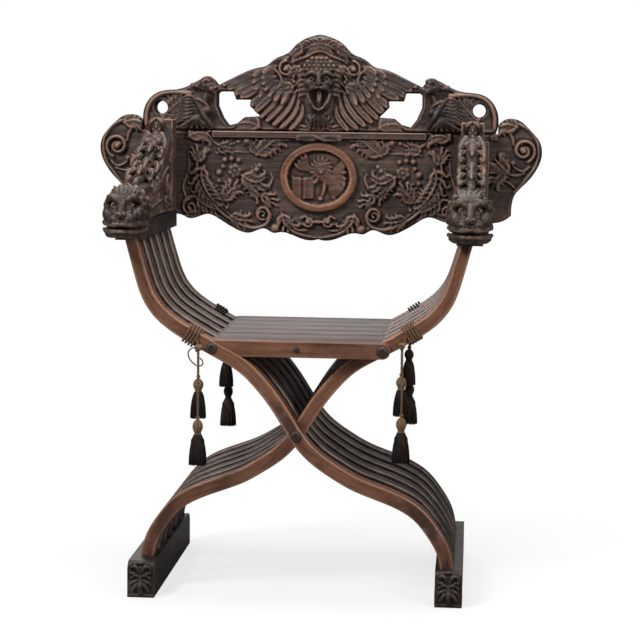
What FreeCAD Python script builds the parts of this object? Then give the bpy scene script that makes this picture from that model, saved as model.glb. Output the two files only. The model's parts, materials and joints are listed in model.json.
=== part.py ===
import FreeCAD, Part
import math
import os
import re
import Sketcher

# Savonarola chair: two families of curved ribs that cross on one rod and fold like scissors,
# a seat of interleaved hinged slats, carved arms on runner feet, and a carved back board.
# Millimetres, +Z up, +X to the viewer's right, the front faces -Y.
# The origin is the centre of the bounding box on the floor.

SIZES = [
    ("rib_thick", 30, "thickness of a rib or slat along the rods"),
    ("rib_gap", 0.8, "running gap between neighbouring ribs"),
    ("rib_count", 6, "ribs in each family"),
    ("rib_width", 24, "width of a rib in its own plane"),
    ("rib_top_width", 20, "width of a rib where it enters the arm"),
    ("rib_foot_width", 22, "width of a rib where it enters the foot"),
    ("pivot_height", 283, "height of the crossing rod"),
    ("arm_reach", 281, "sideways reach of a rib at the arm"),
    ("arm_rise", 327, "rise of a rib from the crossing rod to the arm"),
    ("foot_reach", 255, "sideways reach of a rib at the foot"),
    ("seat_rod_reach", 144, "sideways place of a seat rod"),
    ("seat_rod_height", 430, "height of the seat rods"),
    ("rod_diameter", 14, "diameter of the three long rods"),
    ("rod_clearance", 0.08, "radial clearance round a rod that turns"),
    ("fixed_clearance", 0.02, "radial clearance round a rod or peg that does not turn"),
    ("head_diameter", 20, "diameter of the domed rod heads"),
    ("head_height", 4, "height of the domed rod heads"),
    ("head_clearance", 0.4, "end play between a rod head and a turning piece"),
    ("slat_height", 26, "height of a seat slat"),
    ("slat_rest_gap", 1.0, "sideways gap between a slat's free end and the rib it rests on"),
    ("centre_pin_diameter", 10, "diameter of the pins at the middle of the seat"),
    ("centre_pin_head", 3, "proud end of the foremost centre pin"),
    ("foot_width", 46, "width of a runner foot"),
    ("foot_height", 62, "height of a runner foot"),
    ("foot_outset", 7, "distance of a foot's middle outside the ribs' reach"),
    ("foot_front_overhang", 16, "length of the carved toe in front of the ribs"),
    ("foot_rear_overhang", 16, "length of the heel behind the ribs"),
    ("foot_toe_radius", 18, "radius of the top of toe and heel"),
    ("tenon_end_height", 14, "height of the rib ends inside the feet"),
    ("foot_peg_height", 36, "height of the pegs in the feet"),
    ("foot_peg_length", 42, "length of the pegs in the feet"),
    ("arm_peg_length", 38, "length of the pegs in the arms"),
    ("peg_diameter", 7, "diameter of the wooden pegs"),
    ("arm_outset", 5, "distance of an arm's middle outside the ribs' reach"),
    ("rail_width", 44, "width of an arm rail"),
    ("rail_height", 30, "height of an arm rail"),
    ("arm_tenon", 16, "depth of the rib tops inside the arm rail"),
    ("scroll_width", 40, "thickness of the carved arm scroll"),
    ("scroll_front_height", 54, "height of the scroll at the head"),
    ("scroll_rear_height", 158, "height of the scroll at the post"),
    ("head_width", 82, "width of a carved lion head over the mane"),
    ("lion_head_height", 90, "height of a carved lion head"),
    ("head_depth", 72, "depth of a carved lion head"),
    ("head_drop", 6, "rise of the lion head's chin above the rail's underside"),
    ("mane_depth", 34, "depth of the mane ring"),
    ("face_width", 60, "width of the lion face"),
    ("post_width", 42, "width of a back post"),
    ("post_depth", 44, "depth of a back post"),
    ("post_height", 169, "height of a back post above the arm rail"),
    ("post_setback", 4, "distance of a post's rear face behind the ribs"),
    ("board_thick", 24, "thickness of the back board"),
    ("board_gap", 26, "distance from the posts to the back board"),
    ("panel_half_width", 414, "half width of the back panel over its side lobes"),
    ("panel_height", 201, "height of the back panel from its lowest point to its top edge"),
    ("panel_top", 788, "height of the back panel's top edge"),
    ("crest_height", 180, "height of the crest above the panel"),
    ("tail_hole_diameter", 24, "diameter of the hole inside a tail curl"),
    ("mask_depth", 22, "depth of the carved mask"),
    ("mask_width", 74, "width of the carved mask"),
    ("mask_height", 112, "height of the carved mask"),
    ("mask_base", 36, "height of the mask's chin above the panel's top edge"),
    ("figure_depth", 18, "depth of a carved side figure"),
    ("moulding_half_length", 200, "half length of the moulding"),
    ("moulding_height", 12, "height of the moulding"),
    ("moulding_depth", 12, "depth of the moulding"),
    ("medallion_width", 146, "width of the oval medallion"),
    ("medallion_height", 131, "height of the oval medallion"),
    ("medallion_centre_height", 703, "height of the medallion's centre"),
    ("ring_width", 15, "width of the medallion's ring"),
    ("ring_depth", 11, "depth of the medallion's ring"),
    ("relief_depth", 7, "depth of the medallion's relief"),
    ("dowel_diameter", 10, "diameter of the dowels between panel and crest"),
    ("dowel_length", 50, "length of the dowels"),
    ("slot_depth", 14, "depth of the T slot in the left post"),
    ("slot_neck", 14, "width of the T slot's neck"),
    ("slot_neck_depth", 6, "depth of the T slot's neck"),
    ("slot_head", 24, "width of the T slot's head"),
    ("slot_floor", 24, "height of the slot's blind end above the arm rail"),
    ("cleat_clearance", 0.3, "clearance round the cleats"),
    ("cleat_height", 110, "height of a cleat"),
    ("cleat_width", 36, "width of a cleat's pad"),
    ("lip_thick", 9, "thickness of the right cleat's outer lip"),
    ("lip_reach", 16, "reach of the lip along the post's outer side"),
    ("cord_diameter", 4, "diameter of the tassel cord"),
    ("wrap_radius", 21.7, "radius of the cord's winding about the rib"),
    ("wrap_pitch", 5.6, "step of the winding in each turn"),
    ("wrap_turns", 4, "turns of the winding"),
    ("left_wrap_outset", 34, "sideways distance of the left windings from the seat rod"),
    ("right_wrap_outset", 46, "sideways distance of the right windings from the seat rod"),
    ("knot_radius", 7, "radius of the knots over the tassels"),
    ("knot_clearance", 0.5, "gap from a knot to the rib and to the winding"),
    ("knot_drop", 8, "distance of the knots below the rib's centreline"),
    ("knot_spread", 16, "distance between a pair's two knots"),
    ("cord_offset", 3.5, "sideways place of each hanging cord from its knot"),
    ("upper_cord_length", 53, "free length of the shorter hanging cord"),
    ("lower_cord_length", 120, "free length of the longer hanging cord"),
    ("tassel_radius", 12, "radius of a tassel's skirt"),
    ("upper_tassel_length", 62, "length of the upper tassel"),
    ("lower_tassel_length", 80, "length of the lower tassel"),
]

# Rib centreline from the crossing rod to the seat rod: shares of the seat rod's reach and rise.
RIB_MIDDLE_SHARES = [
    (0.1659, 0.2647), (0.3395, 0.5027), (0.521, 0.7007), (0.7298, 0.8631), (0.9308, 0.9654),
]
# Rib centreline from the seat rod to the arm: shares of the rest of the reach and the rise.
RIB_UPPER_SHARES = [
    (0.1529, 0.0662), (0.518, 0.2388), (0.7087, 0.3769), (0.8072, 0.5113), (0.8974, 0.722),
    (1.0, 1.0),
]
# Rib centreline below the crossing rod: shares of foot_reach and pivot_height.
RIB_LOWER_SHARES = [
    (0.153, 0.852), (0.286, 0.774), (0.459, 0.693), (0.612, 0.647), (0.725, 0.597),
    (0.820, 0.541), (0.900, 0.456), (0.961, 0.378), (0.995, 0.300), (1.016, 0.200),
]
# Sideways place of the rib end inside the foot, a share of foot_reach.
RIB_END_SHARE = 1.024
# Places along a rib, from arm to foot, between which its width runs from top to full to foot.
WIDTH_SHARES = (0.22, 0.80)
RIB_STATIONS = 22

# Back panel, left half: shares of panel_half_width and panel_height, from the panel's lowest point.
LOBE_SHARES = [
    (0.804, 1.080), (0.865, 1.143), (0.907, 1.115), (0.948, 1.036), (0.989, 0.938),
    (1.000, 0.796), (0.976, 0.667), (0.934, 0.554), (0.884, 0.440), (0.870, 0.317), (0.870, 0.251),
]
BOTTOM_SHARES = [
    (0.870, 0.251), (0.700, 0.203), (0.631, 0.213), (0.585, 0.179), (0.503, 0.222), (0.438, 0.156),
    (0.383, 0.090), (0.310, 0.052), (0.241, 0.090), (0.204, 0.052), (0.172, 0.061), (0.103, 0.023),
    (0.0, 0.0),
]
# Half the crest's width, a share of half the panel's.
CREST_SHARE = 0.8019
# Crest, left half: shares of half the crest's width and of its height, from the panel's top edge.
TAIL_SHARES = [
    (0.988, 0.0), (1.000, 0.197), (0.968, 0.322), (0.908, 0.400), (0.805, 0.426), (0.736, 0.468),
    (0.633, 0.551), (0.576, 0.468),
]
WING_SHARES = [
    (0.576, 0.468), (0.530, 0.510), (0.444, 0.588), (0.358, 0.651), (0.301, 0.677), (0.255, 0.744),
    (0.180, 0.807), (0.129, 0.901), (0.049, 0.979), (0.0, 1.0),
]
WING_GAP_SHARES = [
    (0.564, 0.405), (0.484, 0.405), (0.473, 0.322), (0.387, 0.322), (0.392, 0.259), (0.335, 0.155),
    (0.421, 0.144), (0.461, 0.082), (0.513, 0.055), (0.547, 0.134), (0.576, 0.259), (0.576, 0.385),
]
TAIL_HOLE_SHARES = (0.895, 0.235)
# Side figure, left: the same shares as the crest.
FIGURE_SHARES = [
    (0.800, 0.020), (0.815, 0.150), (0.770, 0.290), (0.735, 0.400), (0.690, 0.470), (0.633, 0.540),
    (0.600, 0.470), (0.610, 0.380), (0.622, 0.300), (0.610, 0.190), (0.585, 0.100), (0.590, 0.020),
]
# Mask: shares of half its width and of its height.
MASK_SHARES = [
    (0.0, 0.0), (0.42, 0.08), (0.70, 0.30), (0.86, 0.52), (1.0, 0.74), (0.80, 0.90), (0.40, 0.97),
    (0.0, 1.0),
]
# Arm scroll's upper edge: shares of its length, and of the rise between its two end heights.
SCROLL_SHARES = [(0.0, 0.0), (0.22, 0.06), (0.45, 0.10), (0.66, 0.28), (0.82, 0.62), (1.0, 1.0)]
# Lion face, shares of head_depth and lion_head_height, and mane, shares of mane_depth and
# lion_head_height, in side view from the back of the head.
FACE_SHARES = [
    (0.0, 0.10), (0.35, 0.06), (0.62, 0.0), (0.88, 0.10), (1.0, 0.36), (0.97, 0.56), (0.80, 0.74),
    (0.62, 0.92), (0.30, 0.97), (0.0, 0.93),
]
MANE_SHARES = [(0.0, 0.0), (0.85, 0.04), (1.0, 0.26), (1.0, 0.74), (0.85, 0.96), (0.0, 1.0)]
# Places of the dowels, shares of half the crest's width.
DOWEL_SHARES = (-0.86, -0.30, 0.30, 0.86)
# Tassel outline from its cord down: shares of the skirt's radius and of the tassel's length.
TASSEL_SHARES = [
    (0.34, 0.0), (0.72, 0.06), (0.86, 0.16), (0.72, 0.27), (0.44, 0.33), (0.62, 0.42), (0.86, 0.68),
    (1.0, 1.0),
]
SHEET = "Sizes"

doc = FreeCAD.newDocument("SavonarolaChair")
sheet = doc.addObject("Spreadsheet::Sheet", SHEET)
for row, (alias, value, meaning) in enumerate(SIZES, 1):
    sheet.set(f"A{row}", alias)
    sheet.set(f"B{row}", str(value))
    sheet.setAlias(f"B{row}", alias)
    sheet.set(f"C{row}", meaning)
doc.recompute()

nodes = {}
Vector = FreeCAD.Vector


def size(alias):
    return float(sheet.get(alias))


def bind(item, **sizes):
    """Ties each property to a sum of named sizes."""
    for prop, words in sizes.items():
        item.setExpression(prop, re.sub(r"[a-z_]+", lambda word: f"{SHEET}.{word.group()}", words))


def keep(node, item):
    """Names a finished piece, which makes it a node of the chair."""
    item.Label = node
    nodes[node] = item
    return item


# Places worked out from the sizes
rib_pitch = size("rib_thick") + size("rib_gap")
plane_count = 2 * int(size("rib_count"))
stack_depth = plane_count * rib_pitch - size("rib_gap")
behind_stack = size("post_setback") + size("board_gap") + size("board_thick")
stack_front = -(stack_depth + behind_stack - size("head_depth")) / 2
stack_rear = stack_front + stack_depth
post_rear = stack_rear + size("post_setback")
post_front = post_rear - size("post_depth")
board_front = post_rear + size("board_gap")
rail_base = size("pivot_height") + size("arm_rise")
rail_top = rail_base + size("rail_height")
panel_base = size("panel_top") - size("panel_height")
rod_radius = size("rod_diameter") / 2
foot_offset = size("foot_reach") + size("foot_outset")
arm_offset = size("arm_reach") + size("arm_outset")
crest_half_width = CREST_SHARE * size("panel_half_width")
slat_top = size("seat_rod_height") + size("slat_height") / 2
slat_base = size("seat_rod_height") - size("slat_height") / 2


def plane_front(plane):
    """Front face of one of the interleaved planes, counted from the front."""
    return stack_front + plane * rib_pitch


def plane_centre(plane):
    return plane_front(plane) + size("rib_thick") / 2


def compound(name, items):
    group = doc.addObject("Part::Compound", name)
    group.Links = items
    return group


def cut(name, base, tool):
    result = doc.addObject("Part::Cut", name)
    result.Base = base
    result.Tool = tool
    return result


def fuse(name, items):
    result = doc.addObject("Part::MultiFuse", name)
    result.Shapes = items
    return result


def box(name, corner, length, width, height):
    item = doc.addObject("Part::Box", name)
    bind(item, Length=length, Width=width, Height=height)
    item.Placement = FreeCAD.Placement(corner, FreeCAD.Rotation())
    return item


def cylinder(name, start, direction, radius, height):
    item = doc.addObject("Part::Cylinder", name)
    bind(item, Radius=radius, Height=height)
    item.Placement = FreeCAD.Placement(start, FreeCAD.Rotation(Vector(0, 0, 1), direction))
    return item


def spline(points):
    curve = Part.BSplineCurve()
    curve.interpolate(points)
    return curve


def polyline(points):
    return [Part.LineSegment(start, end) for start, end in zip(points, points[1:])]


def mirrored(points):
    return [Vector(-point.x, point.y, 0) for point in reversed(points)]


def scaled(shares, width, height, base=0):
    """Outline points of a left half, from shares of a width and a height."""
    return [Vector(-across * width, base + up * height, 0) for across, up in shares]


def sketch_in(body, name, role, curves, circles=()):
    """A sketch on one of the body's own planes; each circle's radius follows the sheet."""
    sketch = body.newObject("Sketcher::SketchObject", name)
    plane = next(item for item in body.Origin.OriginFeatures if item.Role == role)
    sketch.AttachmentSupport = [(plane, "")]
    sketch.MapMode = "FlatFace"
    sketch.addGeometry(list(curves), False)
    for centre, words in circles:
        index = sketch.addGeometry(Part.Circle(centre, Vector(0, 0, 1), rod_radius), False)
        rule = sketch.addConstraint(Sketcher.Constraint("Radius", index, rod_radius))
        bind(sketch, **{f"Constraints[{rule}]": words})
    return sketch


def pad_in(body, sketch, length, forward=False, middle=False):
    """A pad along +Y or +X of the sketch; forward turns it towards the chair's front."""
    pad = body.newObject("PartDesign::Pad", sketch.Name + "Pad")
    pad.Profile = sketch
    bind(pad, Length=length)
    pad.Reversed = not forward
    pad.Midplane = middle
    body.Tip = pad
    return pad


def padded_body(name, role, curves, length, place, circles=(), forward=False, middle=False):
    body = doc.addObject("PartDesign::Body", name)
    sketch = sketch_in(body, name + "Outline", role, curves, circles)
    pad_in(body, sketch, length, forward, middle)
    body.Placement = FreeCAD.Placement(place, FreeCAD.Rotation())
    return body


# Rib outline, for the left family; the right family is its mirror image
def rib_centreline():
    reach, pivot = size("seat_rod_reach"), size("pivot_height")
    rise = size("seat_rod_height") - pivot
    rest_reach, rest_rise = size("arm_reach") - reach, size("arm_rise") - rise
    middle = [
        Vector(-across * reach, pivot + up * rise, 0) for across, up in RIB_MIDDLE_SHARES
    ]
    upper = [
        Vector(-reach - across * rest_reach, pivot + rise + up * rest_rise, 0)
        for across, up in RIB_UPPER_SHARES
    ]
    upper = (middle + upper)[::-1]
    lower = [
        Vector(across * size("foot_reach"), up * size("pivot_height"), 0)
        for across, up in RIB_LOWER_SHARES
    ]
    lean = (upper[0] - upper[1]).normalize()
    top = upper[0] + lean * size("arm_tenon")
    end = Vector(RIB_END_SHARE * size("foot_reach"), size("tenon_end_height"), 0)
    return spline([top] + upper + [Vector(0, size("pivot_height"), 0)] + lower + [end])


def rib_half_width(share):
    full_from, full_to = WIDTH_SHARES
    if share < full_from:
        blend = share / full_from
        return (size("rib_top_width") * (1 - blend) + size("rib_width") * blend) / 2
    if share > full_to:
        blend = (share - full_to) / (1 - full_to)
        return (size("rib_width") * (1 - blend) + size("rib_foot_width") * blend) / 2
    return size("rib_width") / 2


def rib_edges():
    """Upper and lower edge points of a left rib, from the arm to the foot."""
    centre = rib_centreline()
    first, last = centre.FirstParameter, centre.LastParameter
    upper, lower = [], []
    for station in range(RIB_STATIONS + 1):
        share = station / RIB_STATIONS
        place = first + (last - first) * share
        along = centre.tangent(place)[0]
        across = Vector(-along.y, along.x, 0) * rib_half_width(share)
        upper.append(centre.value(place) + across)
        lower.append(centre.value(place) - across)
    return upper, lower


upper_edge, lower_edge = rib_edges()
upper_curve = spline(upper_edge)


def upper_edge_at(height):
    """Sideways place where a left rib's upper edge passes a height near the seat."""
    line = Part.LineSegment(
        Vector(-size("arm_reach"), height, 0), Vector(size("arm_reach"), height, 0))
    return min(point.X for point in upper_curve.intersect(line)) + size("slat_rest_gap")


def sided(points, side):
    return points if side < 0 else [Vector(-point.x, point.y, 0) for point in points]


def make_rib(side, number):
    """One rib: side -1 is the left family in the even planes, +1 the right in the odd ones."""
    word = "left" if side < 0 else "right"
    plane = 2 * number + (0 if side < 0 else 1)
    upper, lower = sided(upper_edge, side), sided(lower_edge, side)
    curves = [
        spline(upper), Part.LineSegment(upper[-1], lower[-1]),
        spline(lower), Part.LineSegment(lower[0], upper[0]),
    ]
    play = "fixed_clearance" if side < 0 else "rod_clearance"
    circles = [
        (Vector(0, size("pivot_height"), 0), f"rod_diameter / 2 + {play}"),
        (Vector(side * size("seat_rod_reach"), size("seat_rod_height"), 0),
         "rod_diameter / 2 + fixed_clearance"),
    ]
    body = padded_body(f"{word}Rib{number + 1}", "XZ_Plane", curves, "rib_thick",
                       Vector(0, plane_front(plane), 0), circles)
    return plane, body


def make_slat(side, number):
    """One seat slat, hinged on the rod at its side; it rests on a rib of the other family."""
    word = "left" if side < 0 else "right"
    plane = 2 * number + (1 if side < 0 else 0)
    hinge = Vector(size("seat_rod_reach"), size("seat_rod_height"), 0)
    half = Vector(0, size("slat_height") / 2, 0)
    nose = Vector(size("slat_height") / 2, 0, 0)
    free_top = Vector(upper_edge_at(slat_top), slat_top, 0)
    free_base = Vector(upper_edge_at(slat_base), slat_base, 0)
    flip = -side
    corners = sided([free_top, hinge + half, hinge + nose, hinge - half, free_base], flip)
    curves = [
        Part.LineSegment(corners[0], corners[1]),
        Part.Arc(corners[1], corners[2], corners[3]),
        Part.LineSegment(corners[3], corners[4]),
        Part.LineSegment(corners[4], corners[0]),
    ]
    circles = [(Vector(side * hinge.x, hinge.y, 0), "rod_diameter / 2 + rod_clearance")]
    if side > 0:
        circles.append((Vector(0, hinge.y, 0), "centre_pin_diameter / 2 + fixed_clearance"))
    slat = padded_body(f"{word}Slat{number + 1}", "XZ_Plane", curves, "rib_thick",
                       Vector(0, plane_front(plane), 0), circles)
    keep(f"{word}_slat_{number + 1}", slat)


def make_rod(node, across, height, loose_front, loose_rear):
    """A long rod with domed heads; a head next to a turning piece keeps a little end play."""
    play = size("head_clearance")
    start = Vector(across, stack_front - play * loose_front, height)
    words = "2 * rib_count * (rib_thick + rib_gap) - rib_gap + head_clearance"
    shaft = cylinder(node + "Shaft", start, Vector(0, 1, 0), "rod_diameter / 2", words)
    heads = []
    rear = start + Vector(0, stack_depth + play * (loose_front + loose_rear), 0)
    for place, way in ((start, -1), (rear, 1)):
        head = doc.addObject("Part::Cone", node + "Head")
        bind(head, Radius1="head_diameter / 2", Radius2="rod_diameter / 2", Height="head_height")
        turn = FreeCAD.Rotation(Vector(0, 0, 1), Vector(0, way, 0))
        head.Placement = FreeCAD.Placement(place, turn)
        heads.append(head)
    keep(node, fuse(node + "Fused", [shaft] + heads))


def make_centre_pins():
    pins = []
    for number in range(int(size("rib_count"))):
        start = Vector(0, plane_front(2 * number), size("seat_rod_height"))
        pins.append(cylinder(f"CentrePin{number + 1}", start, Vector(0, 1, 0),
                             "centre_pin_diameter / 2", "rib_thick"))
    cap = doc.addObject("Part::Cone", "CentrePinHead")
    bind(cap, Radius1="centre_pin_diameter / 2", Radius2="centre_pin_diameter / 3",
         Height="centre_pin_head")
    cap.Placement = FreeCAD.Placement(
        Vector(0, stack_front, size("seat_rod_height")),
        FreeCAD.Rotation(Vector(0, 0, 1), Vector(0, -1, 0)))
    pins[0] = fuse("FrontCentrePin", [pins[0], cap])
    keep("centre_pins", compound("CentrePins", pins))


def make_frame(side, word, other):
    """One folding frame: its ribs, the arm rail on its own side and the foot on the other."""
    ribs, pegs = [], []
    for number in range(int(size("rib_count"))):
        plane, body = make_rib(side, number)
        arm_start = Vector(side * (arm_offset + size("rail_width") / 2),
                           plane_centre(plane), rail_base + size("arm_tenon") / 2)
        foot_start = Vector(-side * (foot_offset + size("foot_width") / 2),
                            plane_centre(plane), size("foot_peg_height"))
        pair = [
            cylinder(f"{word}ArmPeg{number + 1}", arm_start, Vector(-side, 0, 0),
                     "peg_diameter / 2", "arm_peg_length"),
            cylinder(f"{word}FootPeg{number + 1}", foot_start, Vector(side, 0, 0),
                     "peg_diameter / 2", "foot_peg_length"),
        ]
        holes = compound(f"{word}RibHoles{number + 1}", pair)
        keep(f"{word}_rib_{number + 1}", cut(f"{word}Rib{number + 1}Drilled", body, holes))
        ribs.append(body)
        pegs.extend(pair)
    rib_group = compound(f"{word}RibGroup", ribs)
    peg_group = keep(f"{word}_frame_pegs", compound(f"{word}PegGroup", pegs))
    for node, blank in ((f"{word}_arm_rail", make_rail(side, word)),
                        (f"{other}_foot", make_foot(-side, other))):
        mortised = cut(node + "Mortised", blank, rib_group)
        keep(node, cut(node + "Drilled", mortised, peg_group))


def make_rail(side, word):
    corner = Vector(side * arm_offset - size("rail_width") / 2, stack_front, rail_base)
    words = "2 * rib_count * (rib_thick + rib_gap) - rib_gap + post_setback"
    return box(word + "RailBlank", corner, "rail_width", words, "rail_height")


def make_foot(side, word):
    front = stack_front - size("foot_front_overhang")
    rear = stack_rear + size("foot_rear_overhang")
    top, bend = size("foot_height"), size("foot_toe_radius")
    slack = bend * (1 - math.sqrt(0.5))
    curves = [
        Part.LineSegment(Vector(front, 0, 0), Vector(front, top - bend, 0)),
        Part.Arc(Vector(front, top - bend, 0), Vector(front + slack, top - slack, 0),
                 Vector(front + bend, top, 0)),
        Part.LineSegment(Vector(front + bend, top, 0), Vector(rear - bend, top, 0)),
        Part.Arc(Vector(rear - bend, top, 0), Vector(rear - slack, top - slack, 0),
                 Vector(rear, top - bend, 0)),
        Part.LineSegment(Vector(rear, top - bend, 0), Vector(rear, 0, 0)),
        Part.LineSegment(Vector(rear, 0, 0), Vector(front, 0, 0)),
    ]
    return padded_body(word + "FootBlank", "YZ_Plane", curves, "foot_width",
                       Vector(side * foot_offset, 0, 0), middle=True)


def make_scroll(side, word):
    """The carved board that sweeps up from the lion head to the back post."""
    length = post_front - stack_front
    low, high = size("scroll_front_height"), size("scroll_rear_height")
    top = [
        Vector(stack_front + along * length, rail_top + low + up * (high - low), 0)
        for along, up in SCROLL_SHARES
    ]
    front, rear = Vector(stack_front, rail_top, 0), Vector(post_front, rail_top, 0)
    curves = [spline(top)] + polyline([top[-1], rear, front, top[0]])
    keep(f"{word}_arm_scroll",
         padded_body(word + "Scroll", "YZ_Plane", curves, "scroll_width",
                     Vector(side * arm_offset, 0, 0), middle=True))


def make_head(side, word):
    """Lion head in front of the arm: a wide mane ring with a narrower face."""
    base = rail_base + size("head_drop")
    body = doc.addObject("PartDesign::Body", word + "Head")
    for part, shares, depth, width in (
        ("Mane", MANE_SHARES, size("mane_depth"), "head_width"),
        ("Face", FACE_SHARES, size("head_depth"), "face_width"),
    ):
        points = [
            Vector(stack_front - along * depth, base + up * size("lion_head_height"), 0)
            for along, up in shares
        ]
        curves = [spline(points), Part.LineSegment(points[-1], points[0])]
        sketch = sketch_in(body, word + part, "YZ_Plane", curves)
        pad_in(body, sketch, width, middle=True)
    body.Placement = FreeCAD.Placement(Vector(side * arm_offset, 0, 0), FreeCAD.Rotation())
    keep(f"{word}_lion_head", body)


def make_post(side, word):
    corner = Vector(side * arm_offset - size("post_width") / 2, post_front, rail_top)
    post = box(word + "Post", corner, "post_width", "post_depth", "post_height")
    if side < 0:
        floor = rail_top + size("slot_floor")
        neck_corner = Vector(-arm_offset - size("slot_neck") / 2,
                             post_rear - size("slot_neck_depth"), floor)
        head_corner = Vector(-arm_offset - size("slot_head") / 2,
                             post_rear - size("slot_depth"), floor)
        neck = box("SlotNeck", neck_corner, "slot_neck", "slot_neck_depth",
                   "post_height - slot_floor")
        head = box("SlotHead", head_corner, "slot_head", "slot_depth - slot_neck_depth",
                   "post_height - slot_floor")
        post = cut("SlottedPost", post, fuse("Slot", [neck, head]))
    keep(f"{word}_back_post", post)


def make_cleats():
    """Two blocks that carry the back: a T tongue in the left post, a lip outside the right."""
    play = size("cleat_clearance")
    base = rail_top + size("slot_floor") + play
    left_edge = -arm_offset - size("cleat_width") / 2
    pad = box("LeftCleatPad", Vector(left_edge, post_rear + play, base),
              "cleat_width", "board_gap - cleat_clearance", "cleat_height")
    neck = box("TongueNeck",
               Vector(-arm_offset - size("slot_neck") / 2 + play,
                      post_rear - size("slot_neck_depth") - play, base),
               "slot_neck - 2 * cleat_clearance", "slot_neck_depth + 2 * cleat_clearance",
               "cleat_height")
    head = box("TongueHead",
               Vector(-arm_offset - size("slot_head") / 2 + play,
                      post_rear - size("slot_depth") + play, base),
               "slot_head - 2 * cleat_clearance",
               "slot_depth - slot_neck_depth - 2 * cleat_clearance", "cleat_height")
    left = fuse("LeftCleat", [pad, neck, head])
    right_edge = arm_offset - size("cleat_width") / 2
    lip_edge = arm_offset + size("post_width") / 2 + play
    pad = box("RightCleatPad", Vector(right_edge, post_rear + play, base),
              "cleat_width / 2 + post_width / 2 + cleat_clearance + lip_thick",
              "board_gap - cleat_clearance", "cleat_height")
    lip = box("RightCleatLip", Vector(lip_edge, post_rear - size("lip_reach"), base),
              "lip_thick", "lip_reach + board_gap", "cleat_height")
    keep("back_cleats", compound("Cleats", [left, fuse("RightCleat", [pad, lip])]))


def make_board():
    """The back: a panel and a pierced crest on four dowels, both cut from the same plank."""
    front = Vector(0, board_front, 0)
    half, tall = size("panel_half_width"), size("panel_height")
    lobe = scaled(LOBE_SHARES, half, tall, panel_base)
    bottom = scaled(BOTTOM_SHARES, half, tall, panel_base)
    shoulder = Vector(lobe[0].x, size("panel_top"), 0)
    far_shoulder = Vector(-shoulder.x, shoulder.y, 0)
    curves = [
        Part.LineSegment(shoulder, lobe[0]), spline(lobe), spline(bottom),
        spline(mirrored(bottom)), spline(mirrored(lobe)),
        Part.LineSegment(mirrored(lobe)[-1], far_shoulder), Part.LineSegment(far_shoulder, shoulder),
    ]
    panel = padded_body("Panel", "XZ_Plane", curves, "board_thick", front)
    half, tall, base = crest_half_width, size("crest_height"), size("panel_top")
    tail = scaled(TAIL_SHARES, half, tall, base)
    wing = scaled(WING_SHARES, half, tall, base)
    gap = scaled(WING_GAP_SHARES, half, tall, base)
    curves = [
        spline(tail), spline(wing), spline(mirrored(wing)), spline(mirrored(tail)),
        Part.LineSegment(mirrored(tail)[-1], tail[0]),
    ]
    curves += polyline(gap + gap[:1]) + polyline(mirrored(gap) + mirrored(gap)[:1])
    hole = scaled([TAIL_HOLE_SHARES], half, tall, base)[0]
    circles = [(Vector(side * hole.x, hole.y, 0), "tail_hole_diameter / 2") for side in (1, -1)]
    crest = padded_body("Crest", "XZ_Plane", curves, "board_thick", front, circles)
    dowels = [
        cylinder(f"Dowel{number + 1}",
                 Vector(share * half, board_front + size("board_thick") / 2,
                        base - size("dowel_length") / 2),
                 Vector(0, 0, 1), "dowel_diameter / 2", "dowel_length")
        for number, share in enumerate(DOWEL_SHARES)
    ]
    dowel_group = keep("crest_dowels", compound("Dowels", dowels))
    keep("back_panel", cut("PanelDrilled", panel, dowel_group))
    keep("crest_board", cut("CrestDrilled", crest, dowel_group))


def make_carvings():
    """Raised pieces on the front of the board: mask, figures, moulding and medallion."""
    front = Vector(0, board_front, 0)
    mask_foot = size("panel_top") + size("mask_base")
    cheek = scaled(MASK_SHARES, size("mask_width") / 2, size("mask_height"), mask_foot)
    curves = [spline(cheek), spline(mirrored(cheek))]
    keep("crest_mask",
         padded_body("Mask", "XZ_Plane", curves, "mask_depth", front, forward=True))
    figure = scaled(FIGURE_SHARES, crest_half_width, size("crest_height"),
                    size("panel_top"))
    for word, points in (("left", figure), ("right", mirrored(figure))):
        curves = [spline(points), Part.LineSegment(points[-1], points[0])]
        keep(f"{word}_figure",
             padded_body(word + "Figure", "XZ_Plane", curves, "figure_depth", front, forward=True))
    corner = Vector(-size("moulding_half_length"), board_front - size("moulding_depth"),
                    size("panel_top") - size("moulding_height"))
    keep("top_moulding", box("Moulding", corner, "2 * moulding_half_length", "moulding_depth",
                             "moulding_height"))
    body = doc.addObject("PartDesign::Body", "Medallion")
    centre = Vector(0, size("medallion_centre_height"), 0)
    wide, tall = size("medallion_width") / 2, size("medallion_height") / 2
    outer = Part.Ellipse(centre, wide, tall)
    inner = Part.Ellipse(centre, wide - size("ring_width"), tall - size("ring_width"))
    pad_in(body, sketch_in(body, "Relief", "XZ_Plane", [outer]), "relief_depth", forward=True)
    pad_in(body, sketch_in(body, "Ring", "XZ_Plane", [outer, inner]), "ring_depth", forward=True)
    body.Placement = FreeCAD.Placement(front, FreeCAD.Rotation())
    keep("medallion", body)


# Tassel cords
def biarc(start, start_way, end, end_way):
    """Two tangent arcs from one point and direction to another."""
    chord = end - start
    ways = start_way + end_way
    spread = 2 * (1 - start_way.dot(end_way))
    reach = (math.sqrt(chord.dot(ways) ** 2 + spread * chord.dot(chord)) - chord.dot(ways)) / spread
    joint = (start + end + (start_way - end_way) * reach) * 0.5
    arcs = []
    for first, corner, last in (
        (start, start + start_way * reach, joint),
        (joint, end - end_way * reach, end),
    ):
        middle = (first + last) * 0.5
        half_chord = (last - first).Length / 2
        slope = math.atan2((corner - middle).Length, half_chord)
        top = middle + (corner - middle) * (math.tan(slope / 2) / math.tan(slope))
        arcs.append(Part.Arc(first, top, last).toShape())
    return arcs


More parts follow.
